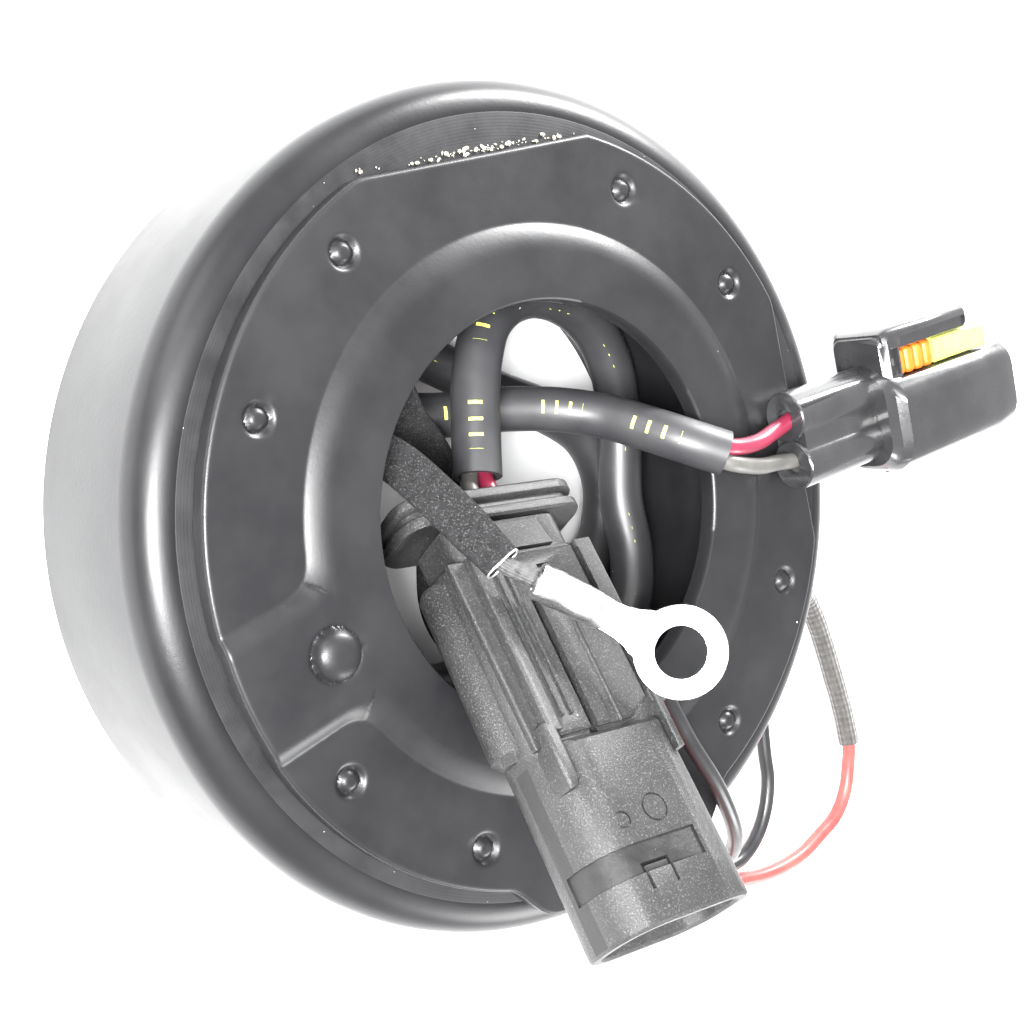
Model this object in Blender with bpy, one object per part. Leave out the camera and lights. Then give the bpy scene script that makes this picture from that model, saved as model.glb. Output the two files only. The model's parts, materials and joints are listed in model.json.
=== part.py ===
"""Field coil of a compressor clutch, with the wiring harness that is packed in its bore.

The coil lies pole face down on z = 0 with its mounting plate up, centred on the Z axis.
Driving dimensions are in millimetres; the meshes are made in metres.
"""

import math

import bmesh
import bpy
from mathutils import Matrix, Vector

MM = 0.001
GAP = 0.3

# Coil
SHELL_RADIUS = 48.0
SHELL_HEIGHT = 25.4
SHELL_WALL = 1.8
SHELL_CORNER = 4.0
BORE_RADIUS = 32.0
POLE_STEPS = 64
INNER_STEPS = 40

# Mounting plate
PLATE_THICK = 2.2
PLATE_RADIUS = 42.2
PLATE_FLAT = 39.3
PLATE_HOLE = 23.1
EAR_GROWTH = 3.2
EAR_AZIMUTH = -45.0
RING_RISE = 1.0
RING_TOP = 29.4
RING_FOOT = 31.5
ARM_AZIMUTH = -124.7
ARM_TOP = 5.6
ARM_FOOT = 7.15
DOME_RADIUS = 2.75
DOME_HEIGHT = 1.6
DIMPLE_CIRCLE = 37.6
DIMPLE_SPREAD = 14.8
DIMPLE_RADIUS = 1.75
DIMPLE_BUTTON = 0.8
DIMPLE_DEPTH = 0.5

# Lead grommet
GROMMET_AZIMUTH = 17.7
GROMMET_HEIGHT = SHELL_HEIGHT - 10.9
GROMMET_WIDE = 9.4
GROMMET_TALL = 5.6

# Cords: outside diameters
LONG_SLEEVE = 5.7
SHORT_SLEEVE = 5.4
LEAD = 2.0
HEAT_SLEEVE = 3.1
FELT_WIDE = 4.8
FELT_THICK = 1.6
GROUND_WIRE = 2.4
HARNESS_WIRE = 2.0

# Ring terminal
RING_OUTER = 4.95
RING_HOLE = 2.8
RING_THICK = 0.8
BARREL_RADIUS = 2.0

# Socket connector, along its own axis from the mouth
SOCKET_AZIMUTH = -54.9
SOCKET_TILT = 35.0
SOCKET_MOUTH = (18.2, -36.8, SHELL_HEIGHT + 23.95)
SHROUD_WIDE = 8.7
SHROUD_TALL = 6.2
SHROUD_WALL = 1.4
SHROUD_LENGTH = 20.0
CAVITY_DEPTH = 17.0
BODY_WIDE = 9.3
BODY_TOP = 4.9
BODY_UNDER = 4.2
BODY_END = 42.0
NECK_END = 46.4
COVER_WIDE = 12.0
COVER_TALL = 4.7
COVER_LENGTH = 3.7

# Plug connector, along its own axis from the cable end
PLUG_AZIMUTH = 44.6
PLUG_BACK = (SHELL_RADIUS - 22.97, SHELL_RADIUS - 24.86, SHELL_HEIGHT + 5.9)
PLUG_NECK_RADIUS = 3.1
PLUG_NECK_SPREAD = 3.0
PLUG_NECK_END = 14.5
PLUG_END = 40.0
WIRE_SEAL_RADIUS = 2.1

SLEEVE_LONG_ROUTE = [
    (23.9, 0.7, 4.5), (25.5, 5.6, 3.6), (25.0, 11.2, 3.0), (21.9, 16.3, 3.0),
    (16.6, 19.2, 3.0), (9.6, 19.0, 3.0), (0.7, 16.9, 3.0), (-7.5, 15.6, 3.0),
    (-16.4, 13.6, 3.0), (-23.8, 9.0, 3.0), (-28.0, 0.4, 3.0), (-26.9, -9.9, 3.0), (-20.4, -20.1, 3.0),
    (-10.4, -26.5, 3.0), (1.3, -28.6, 3.0), (13.5, -25.3, 3.4), (22.6, -17.5, 6.4),
    (27.4, -7.3, 10.4), (27.7, 1.0, 11.6), (25.6, 7.1, 10.6), (21.6, 12.7, 9.4),
    (17.7, 19.5, 9.2), (14.4, 23.5, 9.6), (11.2, 25.8, 10.6), (6.3, 27.9, 11.6),
    (0.5, 28.2, 12.8), (-5.4, 26.3, 13.9), (-9.4, 22.8, 14.9), (-11.5, 18.4, 16.1),
    (-11.5, 13.9, 17.3), (-10.1, 8.9, 18.4), (-8.2, 4.4, 19.4), (-6.6, 0.5, 20.4),
]
SLEEVE_SHORT_ROUTE = [
    (15.0, -15.6, 3.9), (12.2, -18.9, 3.4), (7.0, -21.4, 3.0), (-0.7, -21.8, 3.0),
    (-9.3, -19.5, 3.2), (-16.3, -14.1, 4.0), (-19.4, -6.5, 6.4), (-17.9, -0.6, 9.0),
    (-14.6, 3.7, 10.8), (-9.7, 6.9, 12.2), (-4.1, 11.0, 14.2), (1.5, 14.2, 17.2),
    (5.3, 15.5, 20.8), (8.1, 15.6, 25.1), (11.5, 15.6, 29.5), (15.6, 16.2, 32.2),
]
FELT_ROUTE = [
    (11.8, -12.4, 6.4), (8.7, -13.7, 6.9), (4.2, -11.8, 7.6), (-1.2, -6.0, 9.8),
    (-5.7, 0.5, 11.6), (-11.5, 1.8, 15.2), (-17.2, 1.8, 19.0), (-22.9, 3.8, 20.4),
    (-26.7, 1.9, 20.3), (-27.7, -2.7, 20.4), (-24.5, -5.5, 21.2), (-19.6, -4.2, 23.0),
    (-14.8, -6.7, 28.9), (-10.6, -9.0, 32.6), (-8.3, -10.4, 34.7),
]
HEAT_SLEEVE_ROUTE = [
    (48.6, 17.2, 14.5), (52.7, 18.3, 13.6), (57.2, 19.0, 9.4), (61.9, 19.4, 5.4),
    (66.0, 19.9, 3.0), (71.9, 17.6, 1.9), (78.2, 12.9, 1.9), (83.7, 8.5, 1.9),
    (87.4, 5.0, 1.9),
]
RED_LEAD_ROUTE = [
    (87.7, 4.4, 1.9), (89.5, 1.9, 1.5), (91.1, -1.7, 1.3), (91.1, -6.0, 1.3),
    (89.2, -10.0, 1.3), (86.9, -14.0, 1.3), (83.4, -17.6, 1.3), (79.9, -20.2, 1.3),
    (76.6, -22.0, 1.3), (71.8, -24.6, 1.9), (66.4, -26.8, 5.4), (59.6, -27.6, 13.0),
    (51.6, -26.9, 21.6), (43.0, -25.0, 28.0), (34.5, -21.8, 30.1), (27.0, -18.8, 30.2),
    (23.0, -17.0, 30.6), (18.6, -14.6, 30.8), (16.2, -13.0, 28.4), (15.6, -12.6, 21.5),
    (15.5, -12.4, 15.0), (15.2, -12.2, 8.9),
]
BLACK_LEAD_ROUTE = [
    (50.0, 14.1, 14.5), (54.2, 14.0, 13.0), (58.4, 11.9, 8.8), (62.2, 8.4, 4.6),
    (65.6, 4.3, 1.9), (68.6, 0.2, 1.3), (71.7, -3.9, 1.3), (74.2, -6.9, 1.3),
    (76.0, -11.4, 1.3), (76.2, -15.5, 1.3), (74.7, -19.6, 1.3), (70.8, -22.4, 1.6),
    (65.8, -23.6, 4.4), (60.0, -24.0, 11.0), (53.3, -23.2, 19.4), (45.1, -21.0, 26.8),
    (36.5, -17.9, 29.9), (28.8, -14.9, 30.4), (24.0, -12.7, 30.7), (20.2, -10.7, 30.5),
    (18.0, -9.5, 28.2), (17.8, -9.0, 21.0), (17.6, -8.8, 15.0), (17.5, -8.7, 8.9),
]
FELT_FACING = Vector((-0.53, -0.26, 0.81))
SPLICE_START = (14.8, -13.5, 4.2)
SPLICE_END = (23.6, -0.6, 4.2)
TERMINAL_START = (-4.5, -10.2, SHELL_HEIGHT + 10.5)
TERMINAL_RING = (10.0, -10.7, SHELL_HEIGHT + 19.0)
TERMINAL_FACING = Vector((-0.53, -0.26, 0.81))


# Colours: base colour, metallic, roughness
COLOURS = {
    "black_paint": ((0.012, 0.012, 0.013), 0.0, 0.35),
    "bobbin_nylon": ((0.62, 0.56, 0.42), 0.0, 0.5),
    "copper": ((0.72, 0.32, 0.14), 1.0, 0.35),
    "tape": ((0.55, 0.45, 0.16), 0.0, 0.5),
    "epoxy": ((0.03, 0.03, 0.035), 0.0, 0.3),
    "black_rubber": ((0.02, 0.02, 0.02), 0.0, 0.7),
    "black_pvc": ((0.018, 0.018, 0.02), 0.0, 0.4),
    "glass_braid": ((0.09, 0.085, 0.08), 0.0, 0.9),
    "red_insulation": ((0.75, 0.03, 0.03), 0.0, 0.4),
    "rose_insulation": ((0.6, 0.05, 0.14), 0.0, 0.4),
    "grey_insulation": ((0.3, 0.3, 0.29), 0.0, 0.45),
    "felt": ((0.03, 0.03, 0.03), 0.0, 0.95),
    "tin": ((0.85, 0.85, 0.84), 1.0, 0.25),
    "socket_nylon": ((0.02, 0.02, 0.021), 0.0, 0.6),
    "plug_nylon": ((0.015, 0.015, 0.016), 0.0, 0.3),
    "orange_silicone": ((0.85, 0.22, 0.02), 0.0, 0.5),
    "yellow_nylon": ((0.78, 0.76, 0.18), 0.0, 0.4),
}


def material(name):
    """The named material, made once."""
    if name not in bpy.data.materials:
        colour, metallic, roughness = COLOURS[name]
        made = bpy.data.materials.new(name)
        made.use_nodes = True
        shader = made.node_tree.nodes["Principled BSDF"]
        shader.inputs["Base Color"].default_value = (*colour, 1.0)
        shader.inputs["Metallic"].default_value = metallic
        shader.inputs["Roughness"].default_value = roughness
    return bpy.data.materials[name]


def frame_at(origin, along, up):
    """A frame with its X along the first direction and its Z near the second."""
    x = Vector(along).normalized()
    y = Vector(up).cross(x).normalized()
    rows = Matrix((x, y, x.cross(y))).transposed().to_4x4()
    rows.translation = Vector(origin)
    return rows


def mesh_object(name, points, faces, look, frame=None, smooth=True):
    """An object from points in millimetres of the frame, with its faces turned out."""
    shape = bmesh.new()
    frame = frame or Matrix.Identity(4)
    corners = [shape.verts.new((frame @ Vector(p)) * MM) for p in points]
    for face in faces:
        shape.faces.new([corners[i] for i in face])
    bmesh.ops.recalc_face_normals(shape, faces=shape.faces)
    for face in shape.faces:
        face.smooth = smooth
    mesh = bpy.data.meshes.new(name)
    shape.to_mesh(mesh)
    shape.free()
    made = bpy.data.objects.new(name, mesh)
    bpy.context.scene.collection.objects.link(made)
    if look:
        made.data.materials.append(material(look))
    else:
        made.hide_render = True
        made.display_type = "WIRE"
    return made


def loft(name, sections, look, frame=None):
    """A solid through closed sections that have the same number of points."""
    count = len(sections[0])
    points = [p for section in sections for p in section]
    faces = [list(range(count)), list(range(len(points) - count, len(points)))]
    for row in range(len(sections) - 1):
        for i in range(count):
            j = (i + 1) % count
            low, high = row * count, (row + 1) * count
            faces.append([low + i, low + j, high + j, high + i])
    return mesh_object(name, points, faces, look, frame)


def lathe(name, profile, look, steps=INNER_STEPS, frame=None):
    """A solid of revolution about Z from a closed profile of (radius, height)."""
    points, faces, count = [], [], len(profile)
    for step in range(steps):
        turn = 2 * math.pi * step / steps
        points += [(r * math.cos(turn), r * math.sin(turn), z) for r, z in profile]
    for step in range(steps):
        here, there = step * count, (step + 1) % steps * count
        for i in range(count):
            j = (i + 1) % count
            faces.append([here + i, here + j, there + j, there + i])
    return mesh_object(name, points, faces, look, frame)


def rounded(half_wide, half_tall, corner, centre=(0.0, 0.0), per_corner=4):
    """Points of a rounded rectangle, anticlockwise."""
    corner = min(corner, half_wide, half_tall)
    found = []
    for quarter in range(4):
        turn = quarter * math.pi / 2
        sx = 1 if quarter in (0, 3) else -1
        sy = 1 if quarter in (0, 1) else -1
        for step in range(per_corner):
            angle = turn + step / (per_corner - 1) * math.pi / 2
            found.append((
                centre[0] + sx * (half_wide - corner) + corner * math.cos(angle),
                centre[1] + sy * (half_tall - corner) + corner * math.sin(angle),
            ))
    return found


def stations(*rows):
    """Sections along X from (x, outline of (y, z)) pairs."""
    return [[(x, y, z) for y, z in outline] for x, outline in rows]


def box(name, low, high, look=None, frame=None):
    """A box between two corners."""
    outline = [(low[1], low[2]), (high[1], low[2]), (high[1], high[2]), (low[1], high[2])]
    return loft(name, stations((low[0], outline), (high[0], outline)), look, frame)


def rod(name, start, end, radius, look=None, frame=None, sides=12):
    """A round rod between two points of the frame."""
    along = Vector(end) - Vector(start)
    local = frame_at(start, along, (0, 0, 1) if abs(along.normalized().z) < 0.9 else (1, 0, 0))
    ring = [
        (radius * math.cos(2 * math.pi * i / sides), radius * math.sin(2 * math.pi * i / sides))
        for i in range(sides)
    ]
    whole = (frame or Matrix.Identity(4)) @ local
    return loft(name, stations((0, ring), (along.length, ring)), look, whole)


def combine(target, other, operation):
    """Joins or cuts the target with a hidden helper."""
    step = target.modifiers.new(other.name, "BOOLEAN")
    step.operation = operation
    step.object = other
    step.solver = "EXACT"


def smooth_route(route, spacing):
    """Evenly spaced points on a centripetal Catmull-Rom curve through the route."""
    ends = [2 * Vector(route[0]) - Vector(route[1])]
    ends += [Vector(p) for p in route] + [2 * Vector(route[-1]) - Vector(route[-2])]
    fine = []
    for a, b, c, d in zip(ends, ends[1:], ends[2:], ends[3:]):
        t0 = 0.0
        t1 = t0 + (b - a).length ** 0.5
        t2 = t1 + (c - b).length ** 0.5
        t3 = t2 + (d - c).length ** 0.5
        for step in range(16):
            t = t1 + (t2 - t1) * step / 16
            ab = a.lerp(b, (t - t0) / (t1 - t0))
            bc = b.lerp(c, (t - t1) / (t2 - t1))
            cd = c.lerp(d, (t - t2) / (t3 - t2))
            abc = ab.lerp(bc, (t - t0) / (t2 - t0))
            bcd = bc.lerp(cd, (t - t1) / (t3 - t1))
            fine.append(abc.lerp(bcd, (t - t1) / (t2 - t1)))
    fine.append(ends[-2])
    lengths = [0.0]
    for here, there in zip(fine, fine[1:]):
        lengths.append(lengths[-1] + (there - here).length)
    count = max(2, round(lengths[-1] / spacing) + 1)
    even, at = [], 0
    for i in range(count):
        want = lengths[-1] * i / (count - 1)
        while at < len(lengths) - 2 and lengths[at + 1] < want:
            at += 1
        part = (want - lengths[at]) / (lengths[at + 1] - lengths[at])
        even.append(fine[at].lerp(fine[at + 1], min(1.0, part)))
    return even


def cord(name, route, diameter, look, spacing, detail=2):
    """A round cord along the smoothed route."""
    line = bpy.data.curves.new(name, "CURVE")
    line.dimensions = "3D"
    line.bevel_depth = diameter / 2 * MM
    line.bevel_resolution = detail
    line.use_fill_caps = True
    points = smooth_route(route, spacing)
    spline = line.splines.new("POLY")
    spline.points.add(len(points) - 1)
    for place, point in zip(spline.points, points):
        place.co = (*(point * MM), 1.0)
    made = bpy.data.objects.new(name, line)
    bpy.context.scene.collection.objects.link(made)
    made.data.materials.append(material(look))
    return made


def coil_shell():
    """The steel cup: outer wall, web with a rounded rim, and inner pole wall."""
    top, r = SHELL_HEIGHT, SHELL_RADIUS
    profile = [(BORE_RADIUS, 0), (BORE_RADIUS, top - 0.8), (BORE_RADIUS + 0.8, top)]
    for step in range(6):
        turn = math.pi / 2 * (1 - step / 5)
        profile.append((
            r - SHELL_CORNER + SHELL_CORNER * math.cos(turn),
            top - SHELL_CORNER + SHELL_CORNER * math.sin(turn),
        ))
    inner = r - SHELL_WALL
    profile += [(r, 0), (inner, 0), (inner, top - SHELL_CORNER)]
    profile += [(inner - 2.2, top - SHELL_WALL), (BORE_RADIUS + SHELL_WALL, top - SHELL_WALL)]
    profile += [(BORE_RADIUS + SHELL_WALL, 0)]
    shell = lathe("coil_shell", profile, "black_paint", POLE_STEPS)
    hole = rounded(GROMMET_WIDE / 2 + GAP, GROMMET_TALL / 2 + GAP, 3.1)
    ends = stations((r - 2 * SHELL_WALL, hole), (r + SHELL_WALL, hole))
    cutter = loft("grommet_hole", ends, None, grommet_frame())
    combine(shell, cutter, "DIFFERENCE")


def coil_inside():
    """Bobbin, winding, tape and potting in the annular space of the shell."""
    wall = BORE_RADIUS + SHELL_WALL
    outer = SHELL_RADIUS - SHELL_WALL
    sleeve, base, top = wall + GAP, 3.5, SHELL_HEIGHT - SHELL_WALL - GAP
    rim = outer - 0.4
    lathe("bobbin", [
        (sleeve, base), (rim, base), (rim, base + 1.2), (sleeve + 1.2, base + 1.2),
        (sleeve + 1.2, top - 1.2), (rim - 2.2, top - 1.2), (rim - 2.2, top), (sleeve, top),
    ], "bobbin_nylon")
    low, high = base + 1.2 + GAP, top - 1.2 - GAP
    wound = sleeve + 1.2 + GAP
    full = outer - 1.7
    lathe("copper_winding", [(wound, low), (full, low), (full, high), (wound, high)], "copper")
    tape = full + GAP
    lathe("coil_tape", [
        (tape, low), (tape + 0.5, low), (tape + 0.5, high - 2.0), (tape, high - 2.0),
    ], "tape")
    lathe("potting_ring", [
        (sleeve, 0.6), (rim, 0.6), (rim, base - GAP), (sleeve, base - GAP),
    ], "epoxy")


def plate_radius(azimuth):
    """Edge of the mounting plate at an azimuth in degrees."""
    radius = PLATE_RADIUS
    for flat in (45.0, 135.0):
        away = math.cos(math.radians(azimuth - flat))
        if away > 0.5:
            radius = min(radius, PLATE_FLAT / away)
    off = abs((azimuth - EAR_AZIMUTH + 180) % 360 - 180)
    ease = min(1.0, max(0.0, (24.0 - off) / 9.0))
    return radius + EAR_GROWTH * ease * ease * (3 - 2 * ease)


def mounting_plate():
    """The stamped plate: raised ring and arm, a dome on the arm, and eight dimples."""
    base = SHELL_HEIGHT + GAP + PLATE_THICK
    lanes = [-ARM_FOOT - 2.0, -ARM_FOOT, -ARM_TOP, 0.0, ARM_TOP, ARM_FOOT, ARM_FOOT + 2.0]
    columns = []
    for i in range(72):
        azimuth = 5.0 * i
        if abs((azimuth - ARM_AZIMUTH + 180) % 360 - 180) > 18.5:
            columns.append((azimuth, None))
    start = ARM_AZIMUTH % 360
    before = [c for c in columns if c[0] < start]
    columns = before + [(start, lane) for lane in lanes] + columns[len(before):]
    top, count = [], 4
    for azimuth, lane in columns:
        for row in range(count):
            turn, far = math.radians(azimuth), plate_radius(azimuth)
            radius = (PLATE_HOLE, RING_TOP, RING_FOOT, far)[row]
            if lane is not None:
                turn += math.asin(lane / radius)
            raised = row < 2 or (lane is not None and abs(lane) <= ARM_TOP)
            height = base + (RING_RISE if raised else 0.0)
            top.append((radius * math.cos(turn), radius * math.sin(turn), height))
    under = [(x, y, z - PLATE_THICK) for x, y, z in top]
    points, total, faces = top + under, len(top), []
    for i in range(len(columns)):
        here, there = i * count, (i + 1) % len(columns) * count
        for row in range(count - 1):
            quad = [here + row, here + row + 1, there + row + 1, there + row]
            faces.append(quad)
            faces.append([total + k for k in quad])
        for row in (0, count - 1):
            faces.append([here + row, there + row, total + there + row, total + here + row])
    plate = mesh_object("mounting_plate", points, faces, "black_paint")

    turn = math.radians(ARM_AZIMUTH)
    crown = Matrix.Translation((
        RING_FOOT * math.cos(turn), RING_FOOT * math.sin(turn), base + RING_RISE,
    ))
    sections = []
    for height, part in ((-0.6, 1.0), (0.0, 1.0), (0.6, 0.94), (1.2, 0.68), (1.6, 0.3)):
        ring = [
            (DOME_RADIUS * part * math.cos(math.pi * i / 8),
             DOME_RADIUS * part * math.sin(math.pi * i / 8), height * DOME_HEIGHT / 1.6)
            for i in range(16)
        ]
        sections.append(ring)
    combine(plate, loft("arm_dome", sections, None, crown), "UNION")
    for quarter in range(4):
        for side in (-1, 1):
            turn = math.radians(90 * quarter + side * DIMPLE_SPREAD)
            spot = Matrix.Translation((
                DIMPLE_CIRCLE * math.cos(turn), DIMPLE_CIRCLE * math.sin(turn), base,
            ))
            name = f"dimple_{quarter}_{(side + 1) // 2}"
            ring = [
                (DIMPLE_BUTTON, -DIMPLE_DEPTH), (DIMPLE_RADIUS, -DIMPLE_DEPTH),
                (DIMPLE_RADIUS, 1.0), (DIMPLE_BUTTON, 1.0),
            ]
            combine(plate, lathe(name, ring, None, 12, spot), "DIFFERENCE")


def grommet_frame():
    """Frame on the coil axis at the grommet's height, X out through the grommet."""
    turn = math.radians(GROMMET_AZIMUTH)
    return frame_at((0, 0, GROMMET_HEIGHT), (math.cos(turn), math.sin(turn), 0), (0, 0, 1))


def lead_grommet():
    """The rubber boot that guides the two coil leads through the shell wall."""
    wide, tall = GROMMET_WIDE / 2, GROMMET_TALL / 2
    r = SHELL_RADIUS
    loft("lead_grommet", stations(
        (r - SHELL_WALL - 0.3, rounded(wide, tall, 2.8)),
        (r + 0.7, rounded(wide, tall, 2.8)),
        (r + 0.7, rounded(wide + 1.2, tall + 1.2, 3.6)),
        (r + 1.9, rounded(wide + 1.2, tall + 1.2, 3.6)),
        (r + 2.1, rounded(wide - 0.6, tall - 0.2, 2.4)),
        (r + 3.0, rounded(wide - 0.8, tall - 0.5, 2.2)),
    ), "black_rubber", grommet_frame())


def felt_sleeve():
    """The flat felt sleeve of the earth branch, with its broad face kept turned up."""
    line = smooth_route(FELT_ROUTE, 2.6)
    half_wide, half_thick = FELT_WIDE / 2, FELT_THICK / 2
    outline = rounded(half_wide, half_thick, half_thick, per_corner=2)
    sections = []
    for i, point in enumerate(line):
        ahead = line[min(i + 1, len(line) - 1)] - line[max(i - 1, 0)]
        local = frame_at(point, ahead, FELT_FACING)
        sections.append([local @ Vector((0, y, z)) for y, z in outline])
    loft("felt_sleeve", sections, "felt")


def splice_bundle():
    """The taped joint where the branches of the harness meet."""
    start, end = Vector(SPLICE_START), Vector(SPLICE_END)
    length = (end - start).length
    frame = frame_at(start, end - start, (0, 0, 1))
    loft("splice_bundle", stations(
        (0.0, rounded(3.0, 3.2, 2.4)), (0.8, rounded(3.7, 3.8, 2.8)),
        (length / 2, rounded(3.8, 3.8, 2.6)), (length - 0.8, rounded(3.7, 3.8, 2.8)),
        (length, rounded(3.0, 3.2, 2.4)),
    ), "black_rubber", frame)


def terminal_frame():
    """Frame at the ring's centre, X from the barrel to the ring, Z out of the ring."""
    along = Vector(TERMINAL_RING) - Vector(TERMINAL_START)
    return frame_at(TERMINAL_RING, along, TERMINAL_FACING)


def ring_terminal():
    """The tinned ring terminal with its crimp barrel."""
    frame = terminal_frame()
    back = -(Vector(TERMINAL_RING) - Vector(TERMINAL_START)).length
    outline = [(back + 7.6, 1.5), (-6.4, 1.6), (-4.6, 1.9)]
    for i in range(19):
        turn = math.radians(157 - 314 * i / 18)
        outline.append((RING_OUTER * math.cos(turn), RING_OUTER * math.sin(turn)))
    outline += [(-4.6, -1.9), (-6.4, -1.6), (back + 7.6, -1.5)]
    half = RING_THICK / 2
    sections = [[(x, y, z) for x, y in outline] for z in (-half, half)]
    ring = loft("ring_terminal", sections, "tin", frame)
    hole = rod("terminal_hole", (0, 0, -2), (0, 0, 2), RING_HOLE, None, frame, 20)
    combine(ring, hole, "DIFFERENCE")
    barrel = stations(
        (back, rounded(BARREL_RADIUS, BARREL_RADIUS, BARREL_RADIUS)),
        (back + 2.4, rounded(BARREL_RADIUS, BARREL_RADIUS, BARREL_RADIUS)),
        (back + 3.4, rounded(BARREL_RADIUS, 1.5, 1.2)),
        (back + 6.8, rounded(BARREL_RADIUS, 1.5, 1.2)),
        (back + 8.6, rounded(1.6, 0.6, 0.5)),
    )
    combine(ring, loft("terminal_barrel", barrel, None, frame), "UNION")


def socket_frame():
    """Frame at the socket's mouth, X back along its axis, Z up from its top face."""
    turn, tilt = math.radians(SOCKET_AZIMUTH), math.radians(SOCKET_TILT)
    out = Vector((
        math.cos(tilt) * math.cos(turn), math.cos(tilt) * math.sin(turn), math.sin(tilt),
    ))
    return frame_at(SOCKET_MOUTH, -out, (0, 0, 1))


def socket_connector():
    """The large connector: shrouded socket housing, back cover and two blades."""
    frame = socket_frame()
    inner = rounded(SHROUD_WIDE - SHROUD_WALL, SHROUD_TALL - SHROUD_WALL, 3.6)
    shroud = rounded(SHROUD_WIDE, SHROUD_TALL, 5.0)
    half, middle = (BODY_TOP + BODY_UNDER) / 2, (BODY_TOP - BODY_UNDER) / 2
    body = rounded(BODY_WIDE, half, 3.2, (0.0, middle))
    neck = rounded(7.7, 3.9, 1.5)
    housing = loft("socket_housing", stations(
        (CAVITY_DEPTH, inner), (0.0, inner), (0.0, shroud), (SHROUD_LENGTH - 0.4, shroud),
        (SHROUD_LENGTH, body), (BODY_END, body), (BODY_END + 0.3, neck), (NECK_END, neck),
    ), "socket_nylon", frame)
    # The frame's Y points to the left of someone who looks into the top face from the mouth.
    added = [
        box("rail_left", (22.0, 6.2, 3.9), (BODY_END - 0.4, 7.8, 5.9), None, frame),
        box("rail_right", (22.0, -8.9, 3.4), (BODY_END - 0.4, -6.4, 5.7), None, frame),
        box("lug_left", (16.0, 6.4, 1.0), (21.5, 9.2, 7.0), None, frame),
        box("lug_right", (16.0, -9.2, 1.0), (21.5, -6.4, 7.0), None, frame),
        rod("barrel_left", (21.0, 8.5, -0.4), (BODY_END - 0.6, 8.5, -0.4), 2.7, None, frame, 14),
    ]
    for helper in added:
        combine(housing, helper, "UNION")
    slot = box("latch_slot", (21.0, 0.3, 4.1), (35.0, 1.1, 6.5), None, frame)
    band = box("shroud_band", (4.7, -3.0, SHROUD_TALL - 0.35), (7.5, 8.0, 7.5), None, frame)
    combine(housing, slot, "DIFFERENCE")
    combine(housing, band, "DIFFERENCE")

    back = NECK_END + GAP
    rim = rounded(COVER_WIDE, COVER_TALL, 3.0)
    groove = rounded(COVER_WIDE - 0.9, COVER_TALL - 0.8, 2.4)
    third = COVER_LENGTH / 3
    loft("socket_cover", stations(
        (back, rim), (back + third - 0.1, rim), (back + third + 0.1, groove),
        (back + 2 * third - 0.1, groove), (back + 2 * third + 0.1, rim),
        (back + COVER_LENGTH, rim),
    ), "socket_nylon", frame)
    for side, label in ((1, "a"), (-1, "b")):
        centre = (side * 2.9, 0.0)
        loft(f"socket_blade_{label}", stations(
            (8.0, rounded(0.9, 0.25, 0.2, centre, 2)), (9.0, rounded(1.4, 0.4, 0.2, centre, 2)),
            (CAVITY_DEPTH - GAP, rounded(1.4, 0.4, 0.2, centre, 2)),
        ), "tin", frame)


def plug_frame():
    """Frame at the plug's cable end, which is set in from the shell's sides, Z up."""
    turn = math.radians(PLUG_AZIMUTH)
    return frame_at(PLUG_BACK, (math.cos(turn), math.sin(turn), 0), (0, 0, 1))


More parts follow.
